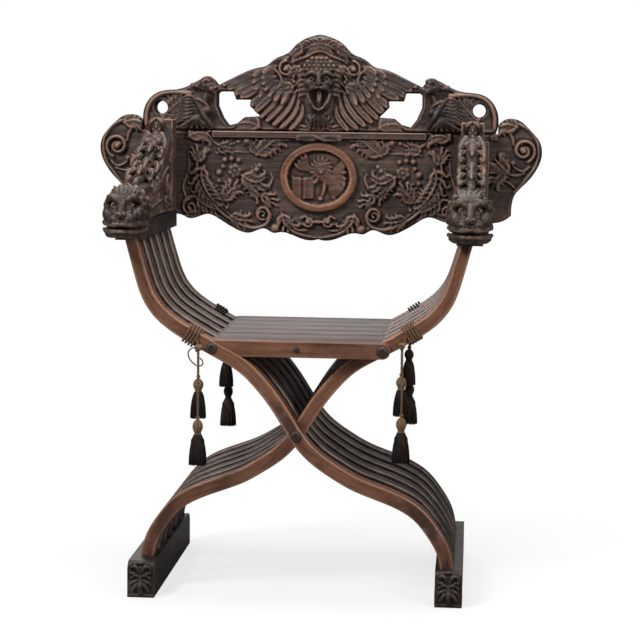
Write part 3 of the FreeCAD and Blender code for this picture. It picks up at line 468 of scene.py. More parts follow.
# Layout of the carving: left half, in mm across from the middle and in mm up from the floor.
# Strands: width, height, taper, path. Leaves: width, height, lobes, path.
# Spirals: centre, radius, first angle, turns, width, height. Beads: centre, radius, height.
# Flowers: centre, radius, petals, height. Feathers: width, height, path.
TABLES = {
    "panel_strands": [
        (7, 5, "even", ((-229, 728), (-231, 708), (-225, 686), (-212, 664), (-193, 644),
         (-169, 625), (-141, 611), (-117, 607), (-98, 615), (-91, 630), (-96, 641))),
        (4, 3, "even", ((-219, 689), (-204, 666), (-188, 648), (-166, 631), (-144, 621),
         (-125, 618))),
        (6, 5, "tip", ((-91, 630), (-95, 642), (-106, 645), (-115, 638), (-115, 627),
         (-107, 622))),
        (5, 4, "tip", ((-174, 661), (-170, 675), (-158, 683), (-145, 687))),
        (5, 4, "tip", ((-106, 681), (-94, 685), (-87, 700), (-91, 711))),
        (4, 3.5, "tip", ((-129, 675), (-125, 686), (-114, 687), (-103, 681))),
        (4, 4, "tip", ((-174, 672), (-173, 659), (-170, 645))),
        (5, 4, "tip", ((-204, 772), (-188, 761), (-165, 754))),
        (4, 3, "tip", ((-193, 746), (-166, 749), (-125, 748))),
        (5, 4, "tip", ((-111, 752), (-95, 768), (-70, 777), (-57, 775))),
        (4, 3, "tip", ((-124, 767), (-118, 754), (-122, 746))),
        (5, 4, "tip", ((-256, 645), (-253, 656), (-240, 664), (-218, 664), (-201, 659))),
        (6, 5, "tip", ((-69, 633), (-65, 618), (-51, 604), (-29, 595), (-2, 590))),
        (5, 5, "tip", ((-57, 629), (-51, 614), (-38, 604), (-19, 604))),
        (7, 6, "even", ((-12, 620), (-1, 620))),
        (5, 5, "tip", ((-32, 626), (-23, 630), (-19, 621), (-27, 614), (-36, 618))),
        (6, 4, "even", ((-407, 746), (-406, 771), (-392, 794), (-371, 806), (-351, 810),
         (-330, 799))),
        (6, 4, "even", ((-407, 746), (-401, 727), (-387, 708), (-375, 691), (-365, 681))),
        (5, 4, "tip", ((-392, 728), (-379, 720), (-364, 727), (-359, 736))),
        (5, 4, "tip", ((-384, 716), (-365, 712), (-348, 716), (-342, 710), (-348, 705))),
        (4, 3.5, "tip", ((-358, 734), (-350, 742), (-344, 740))),
        (6, 4, "tip", ((-362, 768), (-358, 784), (-346, 795), (-330, 798))),
        (5, 4, "tip", ((-365, 689), (-351, 700), (-332, 700), (-321, 689))),
        (4, 3, "tip", ((-251, 661), (-256, 683), (-249, 705), (-245, 727), (-248, 746))),
    ],
    "panel_leaves": [
        (26, 6, 7, ((-216, 721), (-221, 705), (-215, 683), (-201, 661), (-182, 645))),
        (22, 5, 5, ((-229, 659), (-212, 648), (-193, 640), (-180, 636))),
        (20, 5, 5, ((-177, 656), (-166, 675), (-147, 683))),
        (24, 6, 5, ((-144, 705), (-125, 694), (-111, 694), (-98, 702))),
        (18, 5, 4, ((-130, 681), (-117, 675), (-106, 661))),
        (24, 5, 6, ((-117, 743), (-100, 757), (-81, 771), (-57, 772))),
        (16, 4, 4, ((-120, 746), (-121, 762), (-130, 771))),
        (18, 5, 4, ((-166, 629), (-147, 621), (-125, 621))),
        (22, 6, 5, ((-354, 716), (-341, 727), (-328, 741))),
        (26, 6, 6, ((-368, 801), (-349, 806), (-327, 799), (-316, 792))),
        (22, 6, 5, ((-349, 719), (-332, 708), (-324, 689))),
        (26, 6, 5, ((-245, 776), (-229, 784), (-212, 782), (-201, 773))),
        (20, 5, 4, ((-223, 730), (-225, 741), (-219, 752))),
        (16, 5, 4, ((-106, 667), (-94, 661), (-89, 645))),
        (22, 6, 4, ((-68, 634), (-62, 615), (-43, 601))),
        (20, 5, 4, ((-251, 629), (-234, 626), (-215, 634))),
        (16, 4, 4, ((-190, 754), (-174, 757), (-160, 754))),
    ],
    "panel_spirals": [
        ((-381, 758), 22, 250, -1.6, 7, 6),
        ((-242, 644), 15, 100, 1.4, 5, 5),
        ((-105, 632), 12, 10, -1.2, 5, 5),
        ((-18, 620), 10, 200, 1.3, 5.5, 6),
        ((-348, 710), 7, 0, 1.1, 3.5, 4),
    ],
    "panel_beads": [
        ((-81, 607), 8, 7), ((-188, 710), 6, 5), ((-177, 734), 5, 5), ((-164, 736), 4.5, 5),
        ((-151, 733), 4.5, 5), ((-188, 694), 4, 4), ((-168, 694), 4.5, 4), ((-180, 721), 4, 4),
        ((-136, 769), 6, 5), ((-152, 768), 4, 4), ((-126, 667), 4, 4), ((-173, 644), 4, 4),
        ((-98, 752), 5, 4.5), ((-117, 716), 6, 6), ((-125, 712), 4.5, 5), ((-111, 724), 4.5, 5),
        ((-381, 757), 6, 7), ((-361, 735), 4.5, 4), ((-272, 637), 4, 4), ((-18, 620), 5, 6.5),
    ],
    "panel_flowers": [
        ((-158, 713), 14, 6, 6),
        ((-117, 716), 11, 5, 5),
        ((-136, 767), 9, 5, 4.5),
    ],
    "crest_strands": [
        (9, 6, "even", ((-326, 798), (-325, 821), (-316, 842), (-299, 855), (-274, 859),
         (-243, 857))),
        (6, 5, "even", ((-101, 905), (-85, 903), (-74, 892), (-71, 880), (-78, 866))),
        (4, 3, "tip", ((-95, 896), (-87, 891), (-83, 880))),
        (6, 4.5, "even", ((-49, 918), (-31, 925), (-20, 929), (-10, 935), (5, 938))),
        (5, 4, "even", ((-97, 909), (-80, 924), (-55, 941), (-29, 954), (-9, 960), (4, 962))),
        (5, 4, "tip", ((-40, 900), (-37, 887), (-43, 875), (-52, 868))),
        (5, 4, "tip", ((-49, 859), (-40, 864), (-31, 859))),
        (4, 3, "tip", ((-52, 932), (-40, 934), (-31, 943))),
        (4, 3, "tip", ((-31, 943), (-20, 946), (-11, 954))),
        (4, 3, "tip", ((-14, 948), (-2, 950), (4, 956))),
        (4, 3, "tip", ((-69, 918), (-58, 926), (-49, 929))),
    ],
    "crest_leaves": [
        (30, 6, 6, ((-112, 796), (-129, 803), (-147, 803), (-163, 794))),
        (18, 5, 4, ((-49, 871), (-60, 868), (-69, 862))),
        (20, 5, 4, ((2, 789), (-14, 796), (-25, 809))),
        (16, 5, 4, ((-38, 909), (-43, 900), (-40, 887))),
        (18, 5, 5, ((4, 950), (-14, 948), (-29, 939))),
        (18, 5, 5, ((-31, 946), (-47, 937), (-60, 923))),
        (24, 5, 6, ((-297, 807), (-283, 823), (-263, 841), (-243, 850))),
        (24, 5, 5, ((-270, 803), (-261, 821), (-248, 837))),
    ],
    "crest_spirals": [
        ((-62, 904), 15, 90, 1.3, 5, 6),
    ],
    "crest_beads": [
        ((-62, 904), 5, 6.5), ((-37, 893), 4, 4), ((-47, 880), 3.5, 4), ((-74, 909), 3.5, 4),
    ],
    "crest_feathers": [
        (16, 6, ((-86, 906), (-118, 899), (-148, 887), (-178, 874))),
        (17, 6.5, ((-85, 898), (-115, 889), (-142, 878), (-168, 867))),
        (17, 7.5, ((-84, 889), (-110, 879), (-134, 868), (-158, 857))),
        (17, 8.5, ((-82, 881), (-104, 871), (-124, 861), (-144, 851))),
        (17, 7.5, ((-78, 873), (-97, 862), (-113, 849), (-129, 836))),
        (17, 8.5, ((-72, 866), (-89, 853), (-103, 840), (-119, 825))),
        (13, 7, ((-62, 868), (-76, 850), (-90, 832), (-108, 815))),
        (13, 7.5, ((-53, 864), (-65, 843), (-79, 825), (-97, 808))),
        (13, 8, ((-45, 858), (-54, 836), (-67, 818), (-84, 801))),
        (12, 8.5, ((-38, 848), (-43, 828), (-54, 811), (-70, 796))),
        (12, 8, ((-31, 836), (-33, 820), (-41, 806), (-53, 793))),
        (12.5, 9, ((-82, 908), (-94, 904), (-104, 897))),
        (12.5, 9, ((-84, 899), (-96, 894), (-106, 886))),
        (12.5, 10, ((-83, 890), (-95, 884), (-104, 876))),
        (12.5, 10, ((-80, 881), (-92, 874), (-100, 865))),
        (12.5, 10, ((-75, 873), (-86, 864), (-93, 854))),
        (12.5, 10, ((-66, 868), (-76, 857), (-82, 846))),
        (10, 10, ((-57, 864), (-64, 852), (-69, 840))),
        (12.5, 8.5, ((-100, 903), (-112, 898), (-122, 891))),
        (12.5, 8.5, ((-102, 892), (-114, 886), (-123, 878))),
        (12.5, 9, ((-100, 881), (-111, 874), (-119, 866))),
        (10, 9, ((-96, 870), (-105, 862), (-111, 853))),
    ],
}


# Carved boards
GRID = 1.6  # step of the carved surface's points, in mm
FLOW_STEP = 2.0
BOLDNESS = {"panel": 1.55, "crest": 1.3}
HIGHEST = 23  # of any carving over its board, in mm
RIM_PLACE, RIM_WIDTH = 4.5, 2.2
EDGE_FALL = 4.0  # width of the strip that falls away to the edge
BARB_SPACING = 4.6


def flow(path, step=FLOW_STEP):
    """A smooth line through the points of a path."""
    path = np.asarray(path, dtype=float)
    padded = np.vstack([2 * path[0] - path[1], path, 2 * path[-1] - path[-2]])
    t = np.linspace(0, 1, 9)[:-1, None]
    parts = []
    for a, b, c, d in zip(padded[:-3], padded[1:-2], padded[2:-1], padded[3:]):
        parts.append(0.5 * (2 * b + (c - a) * t + (2 * a - 5 * b + 4 * c - d) * t ** 2
                            + (3 * b - a - 3 * c + d) * t ** 3))
    return spaced(np.vstack(parts + [path[-1:]]), step=step)


def inside(points, rings):
    """Whether each point lies within the outline and outside its holes."""
    odd = np.zeros(len(points), dtype=bool)
    for ring in rings:
        for (x1, z1), (x2, z2) in zip(ring, np.roll(ring, -1, axis=0)):
            if z1 != z2:
                crosses = (points[:, 1] < z1) != (points[:, 1] < z2)
                odd ^= crosses & (points[:, 0] < x1 + (points[:, 1] - z1) * (x2 - x1) / (z2 - z1))
    return odd


def edge_distance(points, rings):
    nearest = np.full(len(points), 1e9)
    for ring in rings:
        for a, b in zip(ring, np.roll(ring, -1, axis=0)):
            along = b - a
            share = np.clip((points - a) @ along / max(along @ along, 1e-9), 0, 1)
            nearest = np.minimum(nearest, np.hypot(*(points - a - share[:, None] * along).T))
    return nearest


TAPERS = {
    "even": ((0, 1), (0.8, 1)),
    "tip": ((0, 0.45, 1), (0.75, 1.0, 0.4)),
    "leaf": ((0, 0.4, 0.8, 1), (0.35, 1.0, 0.75, 0.15)),
    "feather": ((0, 0.3, 0.85, 1), (0.6, 0.9, 1.0, 0.7)),
    "groove": ((0, 0.2, 1), (1, 1, 0.2)),
}


def ray(angle):
    return np.array([math.cos(angle), math.sin(angle)])


class Relief:
    """Heights of a carved face over its board, in mm; with halves, right is as left."""

    def __init__(self, points, halves=True):
        self.places = points * (1, 1)
        if halves:
            self.places[:, 0] = -np.abs(points[:, 0])
        self.height = np.zeros(len(points))

    def near(self, path, reach):
        low, high = path.min(axis=0) - reach, path.max(axis=0) + reach
        return np.flatnonzero(np.all((self.places > low) & (self.places < high), axis=1))

    def along(self, path, reach):
        """Points near a path, their distance from it and their share along it."""
        picked = self.near(path, reach)
        run = np.diff(path, axis=0)
        gap = self.places[picked][:, None] - path[:-1]
        share = np.clip((gap * run).sum(2) / np.maximum((run * run).sum(1), 1e-9), 0, 1)
        off = gap - share[..., None] * run
        distance = np.hypot(off[..., 0], off[..., 1])
        best = distance.argmin(axis=1)
        rows = np.arange(len(picked))
        return picked, distance[rows, best], (best + share[rows, best]) / len(run)

    def lift(self, picked, height):
        self.height[picked] = np.maximum(self.height[picked], height)

    def strand(self, width, height, taper, path, smooth=True):
        path = flow(path) if smooth else np.asarray(path)
        picked, distance, share = self.along(path, width)
        scale = np.interp(share, *TAPERS[taper])
        ratio = distance / (0.5 * width * scale)
        self.lift(picked, height * scale ** 0.5 * np.sqrt(np.clip(1 - ratio ** 2, 0, 1)))

    def groove(self, width, depth, path):
        picked, distance, share = self.along(path, width)
        fade = np.interp(share, *TAPERS["groove"])
        self.height[picked] -= depth * np.clip(1 - distance / width, 0, 1) * fade

    def leaf(self, width, height, lobes, path):
        """An acanthus leaf: pointed lobes that fan from a midrib and curl at their tips."""
        line = flow(path)
        turns = np.gradient(line, axis=0)
        self.strand(0.5 * width, 0.45 * height, "leaf", line, smooth=False)
        for number in range(lobes):
            share = 0.06 + 0.8 * number / lobes
            index = int(share * (len(line) - 1))
            ahead = turns[index] / np.linalg.norm(turns[index])
            reach = 0.66 * width * math.sin(math.pi * (0.3 + 0.6 * share)) + 3
            for hand in (1, -1):
                out = np.array([-ahead[1], ahead[0]]) * hand
                lobe = [(0, 0), (0.5, 0.35), (0.8, 0.9), (1.08, 0.8)]
                lobe = [line[index] + reach * (u * out + v * ahead) for u, v in lobe]
                self.strand(0.36 * width * (1 - 0.25 * share), height * (1 - 0.2 * share), "tip",
                            flow(lobe), smooth=False)
        self.strand(0.26 * width, 1.1 * height, "tip", line, smooth=False)

    def spiral(self, centre, radius, start, turns, width, height):
        angles = np.linspace(0, abs(turns) * 2 * math.pi, 40)
        reach = radius * (1 - 0.8 * np.linspace(0, 1, 40))
        turned = math.radians(start) + np.sign(turns) * angles
        path = np.array(centre) + reach[:, None] * np.stack([np.cos(turned), np.sin(turned)], 1)
        self.strand(width, height, "tip", path, smooth=False)
        self.bead(path[-1], 0.28 * radius, height * 1.1)

    def bead(self, centre, radius, height):
        picked = self.near(np.array([centre]), radius)
        gap = np.hypot(*(self.places[picked] - centre).T) / radius
        self.lift(picked, height * np.sqrt(np.clip(1 - gap ** 2, 0, 1)))

    def flower(self, centre, radius, petals, height):
        for number in range(petals):
            way = ray(2 * math.pi * number / petals + 0.3)
            self.bead(centre + 0.6 * radius * way, 0.42 * radius, height * 0.8)
            self.groove(1.5, 1.2, np.array([centre + 0.2 * radius * way, centre + radius * way]))
        self.bead(centre, 0.3 * radius, height)

    def feather(self, width, height, path):
        """A feather that rises to its tip, over those before it, with a quill down it."""
        line = flow(path)
        picked, distance, share = self.along(line, width)
        scale = np.interp(share, *TAPERS["feather"])
        ratio = distance / (0.5 * width * scale)
        level = height * (0.45 + 0.55 * share) * np.clip(1.15 * (1 - ratio ** 4), 0, 1) ** 0.7
        run = share * len(line) * FLOW_STEP
        barbs = 0.35 * np.sin(2 * math.pi * (run + 1.2 * distance) / BARB_SPACING)
        quill = 0.9 * np.clip(1 - distance / 1.7, 0, 1)
        held = level > 0.4 * height
        self.lift(picked[held], (level + barbs - quill)[held])


def carve(relief, name):
    """The heights of one board's carving, from its tables."""
    bold = BOLDNESS[name]
    for width, height, taper, path in TABLES[name + "_strands"]:
        relief.strand(1.12 * width, bold * height, taper, path)
    for feather in TABLES.get(name + "_feathers", []):
        relief.feather(*feather)
    for width, height, lobes, path in TABLES[name + "_leaves"]:
        relief.leaf(1.15 * width, bold * height, lobes, path)
    for *turn, width, height in TABLES[name + "_spirals"]:
        relief.spiral(*turn, 1.12 * width, bold * height)
    for centre, radius, height in TABLES[name + "_beads"]:
        relief.bead(centre, 1.1 * radius, bold * height)
    for flower in TABLES.get(name + "_flowers", []):
        relief.flower(*flower)
    return relief.height


def neighbour_gap(values, pairs):
    """How far the mean of each point's neighbours lies over the point's own value."""
    total, count = np.zeros_like(values), np.zeros(len(values))
    for first, second in pairs:
        np.add.at(total, first, values[second])
        np.add.at(count, first, 1)
    return (total.T / np.maximum(count, 1)).T - values


def board(node, relief_of, finish, rim=2.0, drop=2.6, floor=-3.0, axis=1, holes=True,
          both=False):
    """A board with one or both faces across an axis carved: fine faces and side walls."""
    front, rear = (corner[axis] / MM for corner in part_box(node))
    rings = rings_of(node, axis)[:None if holes else 1]
    rings = [spaced(np.vstack([ring, ring[:1]]) / MM, step=2.0)[:-1] for ring in rings]
    outline = np.vstack(rings)
    low, high = outline.min(axis=0) + GRID / 2, outline.max(axis=0)
    grid = np.stack(np.meshgrid(np.arange(low[0], high[0], GRID),
                                np.arange(low[1], high[1], GRID)), axis=-1).reshape(-1, 2)
    grid = grid[inside(grid, rings)]
    from_edge = edge_distance(grid, rings)
    grid, from_edge = grid[from_edge > 0.55 * GRID], from_edge[from_edge > 0.55 * GRID]
    edges, start = [], 0
    for ring in rings:
        edges += [(start + k, start + (k + 1) % len(ring)) for k in range(len(ring))]
        start += len(ring)

    def filled(points):
        flat, _, faces, *_ = geometry.delaunay_2d_cdt(
            [Vector(point) for point in points], edges, [], 0, 1e-5)
        assert len(flat) == len(points)
        faces = np.array([face[:] for face in faces])
        return faces[inside(points[faces].mean(axis=1), rings)]

    points = np.vstack([outline, grid])
    from_edge = np.concatenate([np.zeros(len(outline)), from_edge])
    faces = filled(points)
    height = np.clip(relief_of(points), floor, HIGHEST)
    if rim:
        height = np.maximum(height, rim * np.exp(-((from_edge - RIM_PLACE) / RIM_WIDTH) ** 2))
    height -= drop * np.clip(1 - from_edge / EDGE_FALL, 0, 1) ** 2
    sides = [faces[:, pair] for corners in ((0, 1), (1, 2), (2, 0))
             for pair in (corners, corners[::-1])]
    pairs = [side.T for side in sides]
    wide = -neighbour_gap(height, pairs)
    for _ in range(2):
        wide = wide + neighbour_gap(wide, pairs)
    # Ridges and raised parts go above zero and are read as worn, paler wood; the recesses beside
    # the relief go below zero and are painted as shade.
    wear = np.clip(wide * 2.3 + 0.02 * (height - 1.2), -1, 1)
    if both:
        back, back_faces, back_depth, back_wear_and_shade = points, faces, rear + height, wear
    else:
        back, back_faces = outline, filled(outline)
        back_depth, back_wear_and_shade = np.full(len(back), rear), np.zeros(len(back))
    across, up = np.vstack([points, back]).T
    depth = np.concatenate([front - height, back_depth])
    every = [tuple(face) for face in faces]
    every += [tuple(face + len(points))[::-1] for face in back_faces]
    every += [(a, b, b + len(points), a + len(points)) for a, b in edges]
    places = [across, depth, up] if axis else [depth, across, up]

    def mark(shape):
        for edge in shape.edges:
            if len(edge.link_faces) == 2 and edge.calc_face_angle() > STEEP:
                edge.smooth = max(len(face.verts) for face in edge.link_faces) == 3

    piece = piece_from("carved_" + node, np.stack(places, 1) * MM, every, finishes[finish])
    turned_out(piece, mark)
    set_wear_and_shade(piece, np.concatenate([wear, back_wear_and_shade]))
    return piece


for node, name in (("back_panel", "panel"), ("crest_board", "crest")):
    stands_for(board(node, lambda points: carve(Relief(points), name), "carved"), node)


MEDALLION_HEIGHT = 703
MEDALLION_REACH = np.array([58, 50.5])


def medallion_relief(points):
    """A lion with a wing, seated by an open book, sunk within a moulded oval ring."""
    places = points - (0, MEDALLION_HEIGHT)
    radius = np.linalg.norm(places / MEDALLION_REACH, axis=1)
    relief = Relief(places, halves=False)
    relief.strand(30, 5, "even", [(8, 4), (26, -6), (34, -24)])
    relief.bead((32, -22), 14, 5.5)
    for number in range(5):
        lift = 8 * number
        relief.feather(9, 6, [(20, 4 - 4 * number), (40 + number, 22 - 0.9 * lift),
                              (50 - 0.4 * number, 36 - 1.6 * lift)])
    for number in range(4):
        relief.feather(9, 6.5, [(-8, 12), (-20 - 4 * number, 22 - 2 * number),
                                (-26 - 6 * number, 43 - 6 * number)])
    head = np.array([5, 16])
    for number in range(15):
        way = ray(2 * math.pi * number / 15)
        twist = np.array([-way[1], way[0]]) * 4
        relief.strand(7, 5.5, "leaf", [head + 10 * way, head + 16 * way + twist,
                                       head + 23 * way + 0.4 * twist])
    relief.bead((5, 17), 14, 6.5)
    relief.bead((5, 10), 7, 8.5)
    relief.bead((-2, 25), 3.5, 6)
    relief.bead((12, 25), 3.5, 6)
    relief.strand(8, 6.5, "tip", [(0, 0), (-8, -10), (-16, -8)])
    relief.strand(9, 5.5, "tip", [(12, -2), (11, -20), (6, -38)])
    relief.bead((4, -40), 5, 5.5)
    relief.bead((30, -38), 6, 5)
    relief.strand(5, 4, "even", [(38, -30), (47, -18), (44, -4)])
    relief.strand(6, 3.5, "even", [(-40, -42), (0, -49), (40, -41)])
    for middle, width, slope in ((-40, 17, 0.12), (-19, 21, -0.1)):
        across = places[:, 0] - middle
        within = (np.abs(across) < width / 2) & (np.abs(places[:, 1] + 20 + slope * across) < 20)
        relief.height[within] = np.maximum(relief.height, 5.5 + slope * across)[within]
    relief.groove(1.6, 2.0, np.array([(-30.5, 2), (-30.5, -42)], dtype=float))
    for eye in ((1.0, 18.5), (9.0, 18.5)):
        relief.groove(2.2, 2.2, np.array([eye, (eye[0] + 1.0, eye[1])]))
    relief.groove(1.8, 1.6, np.array([(1.5, 8.0), (8.5, 8.0)]))
    ring = 1.6 * np.sqrt(np.clip(1 - ((radius - 1.13) / 0.13) ** 2, 0, 1))
    ring += np.where(radius > 1.0, 0, -1.2)
    return np.where(radius < 1, relief.height - 9.2 - 0.6 * radius ** 2, ring - 1.6)


medallion = board("medallion", medallion_relief, "ring", rim=0, drop=2.0, floor=-10.0,
                  holes=False)
medallion.data.materials.append(finishes["book"])
for face in medallion.data.polygons:
    place = np.array([face.center.x / MM, face.center.z / MM - MEDALLION_HEIGHT])
    face.material_index = int(np.linalg.norm(place / MEDALLION_REACH) < 1)
stands_for(medallion, "medallion")


def scroll_relief(points):
    """A long scroll with acanthus along the arm, over a row of beads."""
    relief = Relief(points, halves=False)
    relief.strand(8, 5, "even", [(95, 724), (48, 712), (-10, 690), (-70, 674), (-130, 676),
                                 (-162, 684)])
    relief.spiral((97, 691), 33, 90, -1.7, 8, 5)
    relief.leaf(30, 5.5, 9, [(-162, 662), (-105, 660), (-40, 664), (30, 668)])
    relief.leaf(24, 5, 6, [(118, 722), (134, 745), (136, 782)])
    relief.leaf(22, 5, 5, [(-60, 684), (-10, 700), (45, 728)])
    relief.leaf(22, 5, 5, [(60, 664), (110, 654), (146, 660)])
    relief.spiral((-148, 672), 12, 0, 1.3, 5, 5)
    for number in range(22):
        relief.bead((-166 + 14.4 * number, 646), 3.6, 3)
    return relief.height


for word, _ in SIDES:
    node = word + "_arm_scroll"
    scroll = board(node, scroll_relief, "carved_along", rim=1.5, axis=0, holes=False, both=True)
    stands_for(scroll, node)


# Sculpted pieces: forms built up from balls and strands, joined into one skin, then cut back
def ball_template(facets):
    shape = bmesh.new()
    bmesh.ops.create_icosphere(shape, subdivisions=facets, radius=1)
    points = np.array([vert.co[:] for vert in shape.verts])
    faces = np.array([[vert.index for vert in face.verts] for face in shape.faces])
    shape.free()
    return points, faces


BALLS = {facets: ball_template(facets) for facets in (2, 3)}


class Clay:
    """Carved form in mm; x across, y away from the viewer, z up."""

    def __init__(self):
        self.points, self.faces, self.count = [], [], 0

    def ball(self, centre, radii, turn=(0, 0, 0), facets=3):
        points, faces = BALLS[facets]
        points = points * radii
        if any(turn):
            matrix = Euler([math.radians(angle) for angle in turn]).to_matrix()
            points = points @ np.array(matrix).T
        self.points.append(points + centre)
        self.faces.append(faces + self.count)
        self.count += len(points)

    def strand(self, path, *radii):
        """A tapered strand through the points of a path."""
        path = np.asarray(path, dtype=float)
        line = flow(path, step=0.35 * min(radii) + 0.3)
        sizes = np.interp(np.linspace(0, 1, len(line)), np.linspace(0, 1, len(radii)), radii)
        for centre, radius in zip(line, sizes):
            self.ball(centre, (radius,) * 3, facets=2)

    def pair(self, path, *radii):
        """A strand and its mirror image."""
        for side in (1, -1):
            self.strand([(side * x, y, z) for x, y, z in path], *radii)

    def balls(self, centre, radii):
        """A ball and its mirror image."""
        for side in (1, -1):
            self.ball((side * centre[0], *centre[1:]), radii)

    def curl(self, root, tip, swing, *radii):
        """A lock of hair from root to tip that swings to one side and turns back."""
        root, tip, swing = (np.asarray(p, dtype=float) for p in (root, tip, swing))
        run = tip - root
        self.strand([root, root + 0.4 * run + 0.6 * swing, root + 0.8 * run + 0.5 * swing,
                     tip, tip - 0.25 * run - 0.1 * swing], *radii)

    def skin(self, voxel, smooth=2):
        points, faces = np.vstack(self.points), np.vstack(self.faces)
        rough = bpy.data.meshes.new("clay")
        rough.vertices.add(len(points))
        rough.vertices.foreach_set("co", points.astype(np.float32).ravel())
        rough.loops.add(faces.size)
        rough.loops.foreach_set("vertex_index", faces.astype(np.int32).ravel())
        rough.polygons.add(len(faces))
        rough.polygons.foreach_set("loop_start", np.arange(0, faces.size, 3, dtype=np.int32))
        rough.update(calc_edges=True)
        holder = linked("clay", rough)
        joined = holder.modifiers.new("joined", "REMESH")
        joined.mode = "VOXEL"
        joined.voxel_size = voxel
        graph = bpy.context.evaluated_depsgraph_get()
        mesh = bpy.data.meshes.new_from_object(holder.evaluated_get(graph))
        bpy.data.objects.remove(holder)
        return Skin(mesh, voxel, smooth)


class Skin:
    """The one skin of a clay form, as points that can be pressed in."""

    def __init__(self, mesh, voxel, smooth):
        self.mesh, self.voxel = mesh, voxel
        self.points = np.empty((len(mesh.vertices), 3))
        mesh.vertices.foreach_get("co", self.points.ravel())
        self.edges = np.empty((len(mesh.edges), 2), dtype=np.int32)
        mesh.edges.foreach_get("vertices", self.edges.ravel())
        self.pairs = (self.edges.T, self.edges.T[::-1])
        for _ in range(smooth):
            self.points += 0.5 * neighbour_gap(self.points, self.pairs)
        self.sync()

    def sync(self):
        self.mesh.vertices.foreach_set("co", self.points.astype(np.float32).ravel())
        self.mesh.update()
        normals = np.empty((len(self.points), 3), dtype=np.float32)
        self.mesh.vertex_normals.foreach_get("vector", normals.ravel())
        self.normals = normals.astype(float)

    def press(self, path, width, depth):
        """Presses a groove in along a path."""
        line = flow(path, step=1.0)
        low, high = line.min(axis=0) - width, line.max(axis=0) + width
        picked = np.flatnonzero(np.all((self.points > low) & (self.points < high), axis=1))
        if len(picked):
            gap = np.linalg.norm(self.points[picked][:, None] - line, axis=2).min(axis=1)
            push = depth * np.clip(1 - (gap / width) ** 2, 0, 1)
            self.points[picked] -= self.normals[picked] * push[:, None]

    def press_pair(self, path, width, depth):
        for side in (1, -1):
            self.press([(side * x, y, z) for x, y, z in path], width, depth)

    def piece(self, name, finish, place=(0, 0, 0), side=1):
        self.sync()
        pull = neighbour_gap(self.points, self.pairs)
        # By curvature: bulges go above zero and are read as worn, paler wood; creases and recesses
        # go below zero and are painted as shade.
        wear = -(pull * self.normals).sum(axis=1) / self.voxel
        for _ in range(3):
            wear = wear + 0.5 * neighbour_gap(wear, self.pairs)
        points = (self.points * (side, 1, 1) + place) * MM
        faces = [tuple(face.vertices)[::side] for face in self.mesh.polygons]
        piece = piece_from("carved_" + name, points, faces, finishes[finish])
        set_wear_and_shade(piece, np.clip(wear * 5.5 + 0.05, -1, 1))
        return piece


def lion_head():
    clay = Clay()
    clay.ball((0, -20, 46), (31, 25, 34))
    clay.ball((0, -8, 44), (37, 16, 40))
    clay.ball((0, -42, 38), (23, 23, 20))
    clay.balls((11, -55, 33), (13, 13, 11))
    clay.strand([(0, -38, 68), (0, -52, 58), (0, -64, 44)], 9, 7, 6)
    clay.ball((0, -66, 42), (9, 5, 6))
    clay.pair([(5, -50, 62), (16, -48, 69), (29, -36, 62)], 5, 7, 4)
    clay.balls((14, -49, 56), (6, 5, 5))
    clay.balls((24, -36, 41), (12, 19, 15))
    clay.pair([(0, -67, 26), (15, -63, 25), (27, -49, 26), (35, -28, 27)], 4.4, 5, 5, 4)
    clay.ball((0, -36, 11), (30, 27, 9))
    clay.ball((0, -34, 20), (29, 24, 9))
    clay.pair([(0, -62, 13), (15, -58, 13), (27, -44, 13), (35, -24, 15)], 4.4, 5, 5, 4)
    clay.pair([(0, -58, 6), (14, -54, 6), (25, -40, 6), (32, -20, 8)], 4, 4.4, 4.4, 4)
    for turn in range(15):
        angle = math.radians(-50 + 280 * turn / 14)
        way = np.array([math.cos(angle), 0, math.sin(angle)])
        swing = np.array([-way[2], 0, way[0]]) * 6
        centre = np.array([0, 0, 45])
        clay.curl(centre + 27 * way + (0, -30, 0), centre + (36, 0, 40) * way + (0, -14, 0),
                  swing, 4, 6, 4, 2)
        clay.curl(centre + 33 * way + (0, -16, 0), centre + (39, 0, 43) * way + (0, -3, 0),
                  -swing, 5, 5.5, 4, 2.5)
    for turn in range(5):
        spread = 9 * (turn - 2)
        clay.curl((0.6 * spread, -46, 70), (spread, -26, 86), (4, -3, 0), 4, 5, 3, 2)
    skin = clay.skin(1.5)
    skin.press_pair([(14, -57, 56)] * 2, 6, 4)
    skin.press_pair([(8, -58, 50), (18, -55, 51)], 3, 3.0)
    skin.press_pair([(0, -70, 19.5), (16, -65, 19.5), (29, -48, 20), (36, -28, 21)], 3.0, 4.5)
    skin.press_pair([(0, -65, 9.5), (15, -60, 9.5), (27, -44, 9.5), (35, -26, 11)], 1.6, 1.6)
    skin.press([(0, -70, 38), (0, -69, 28)], 2.5, 2)
    skin.press_pair([(5, -71, 40)] * 2, 3, 2.5)
    for row in (30, 34, 38):
        skin.press_pair([(7, -68, row), (17, -62, row)], 1.8, 1.2)
    skin.press_pair([(22, -54, 30), (31, -38, 36), (34, -26, 44)], 3, 1.8)
    return skin


# Tufts of acanthus along the arm: place along it, height and size
TUFTS = ((44, 747, 1.0), (2, 722, 1.2), (-52, 711, 1.3))


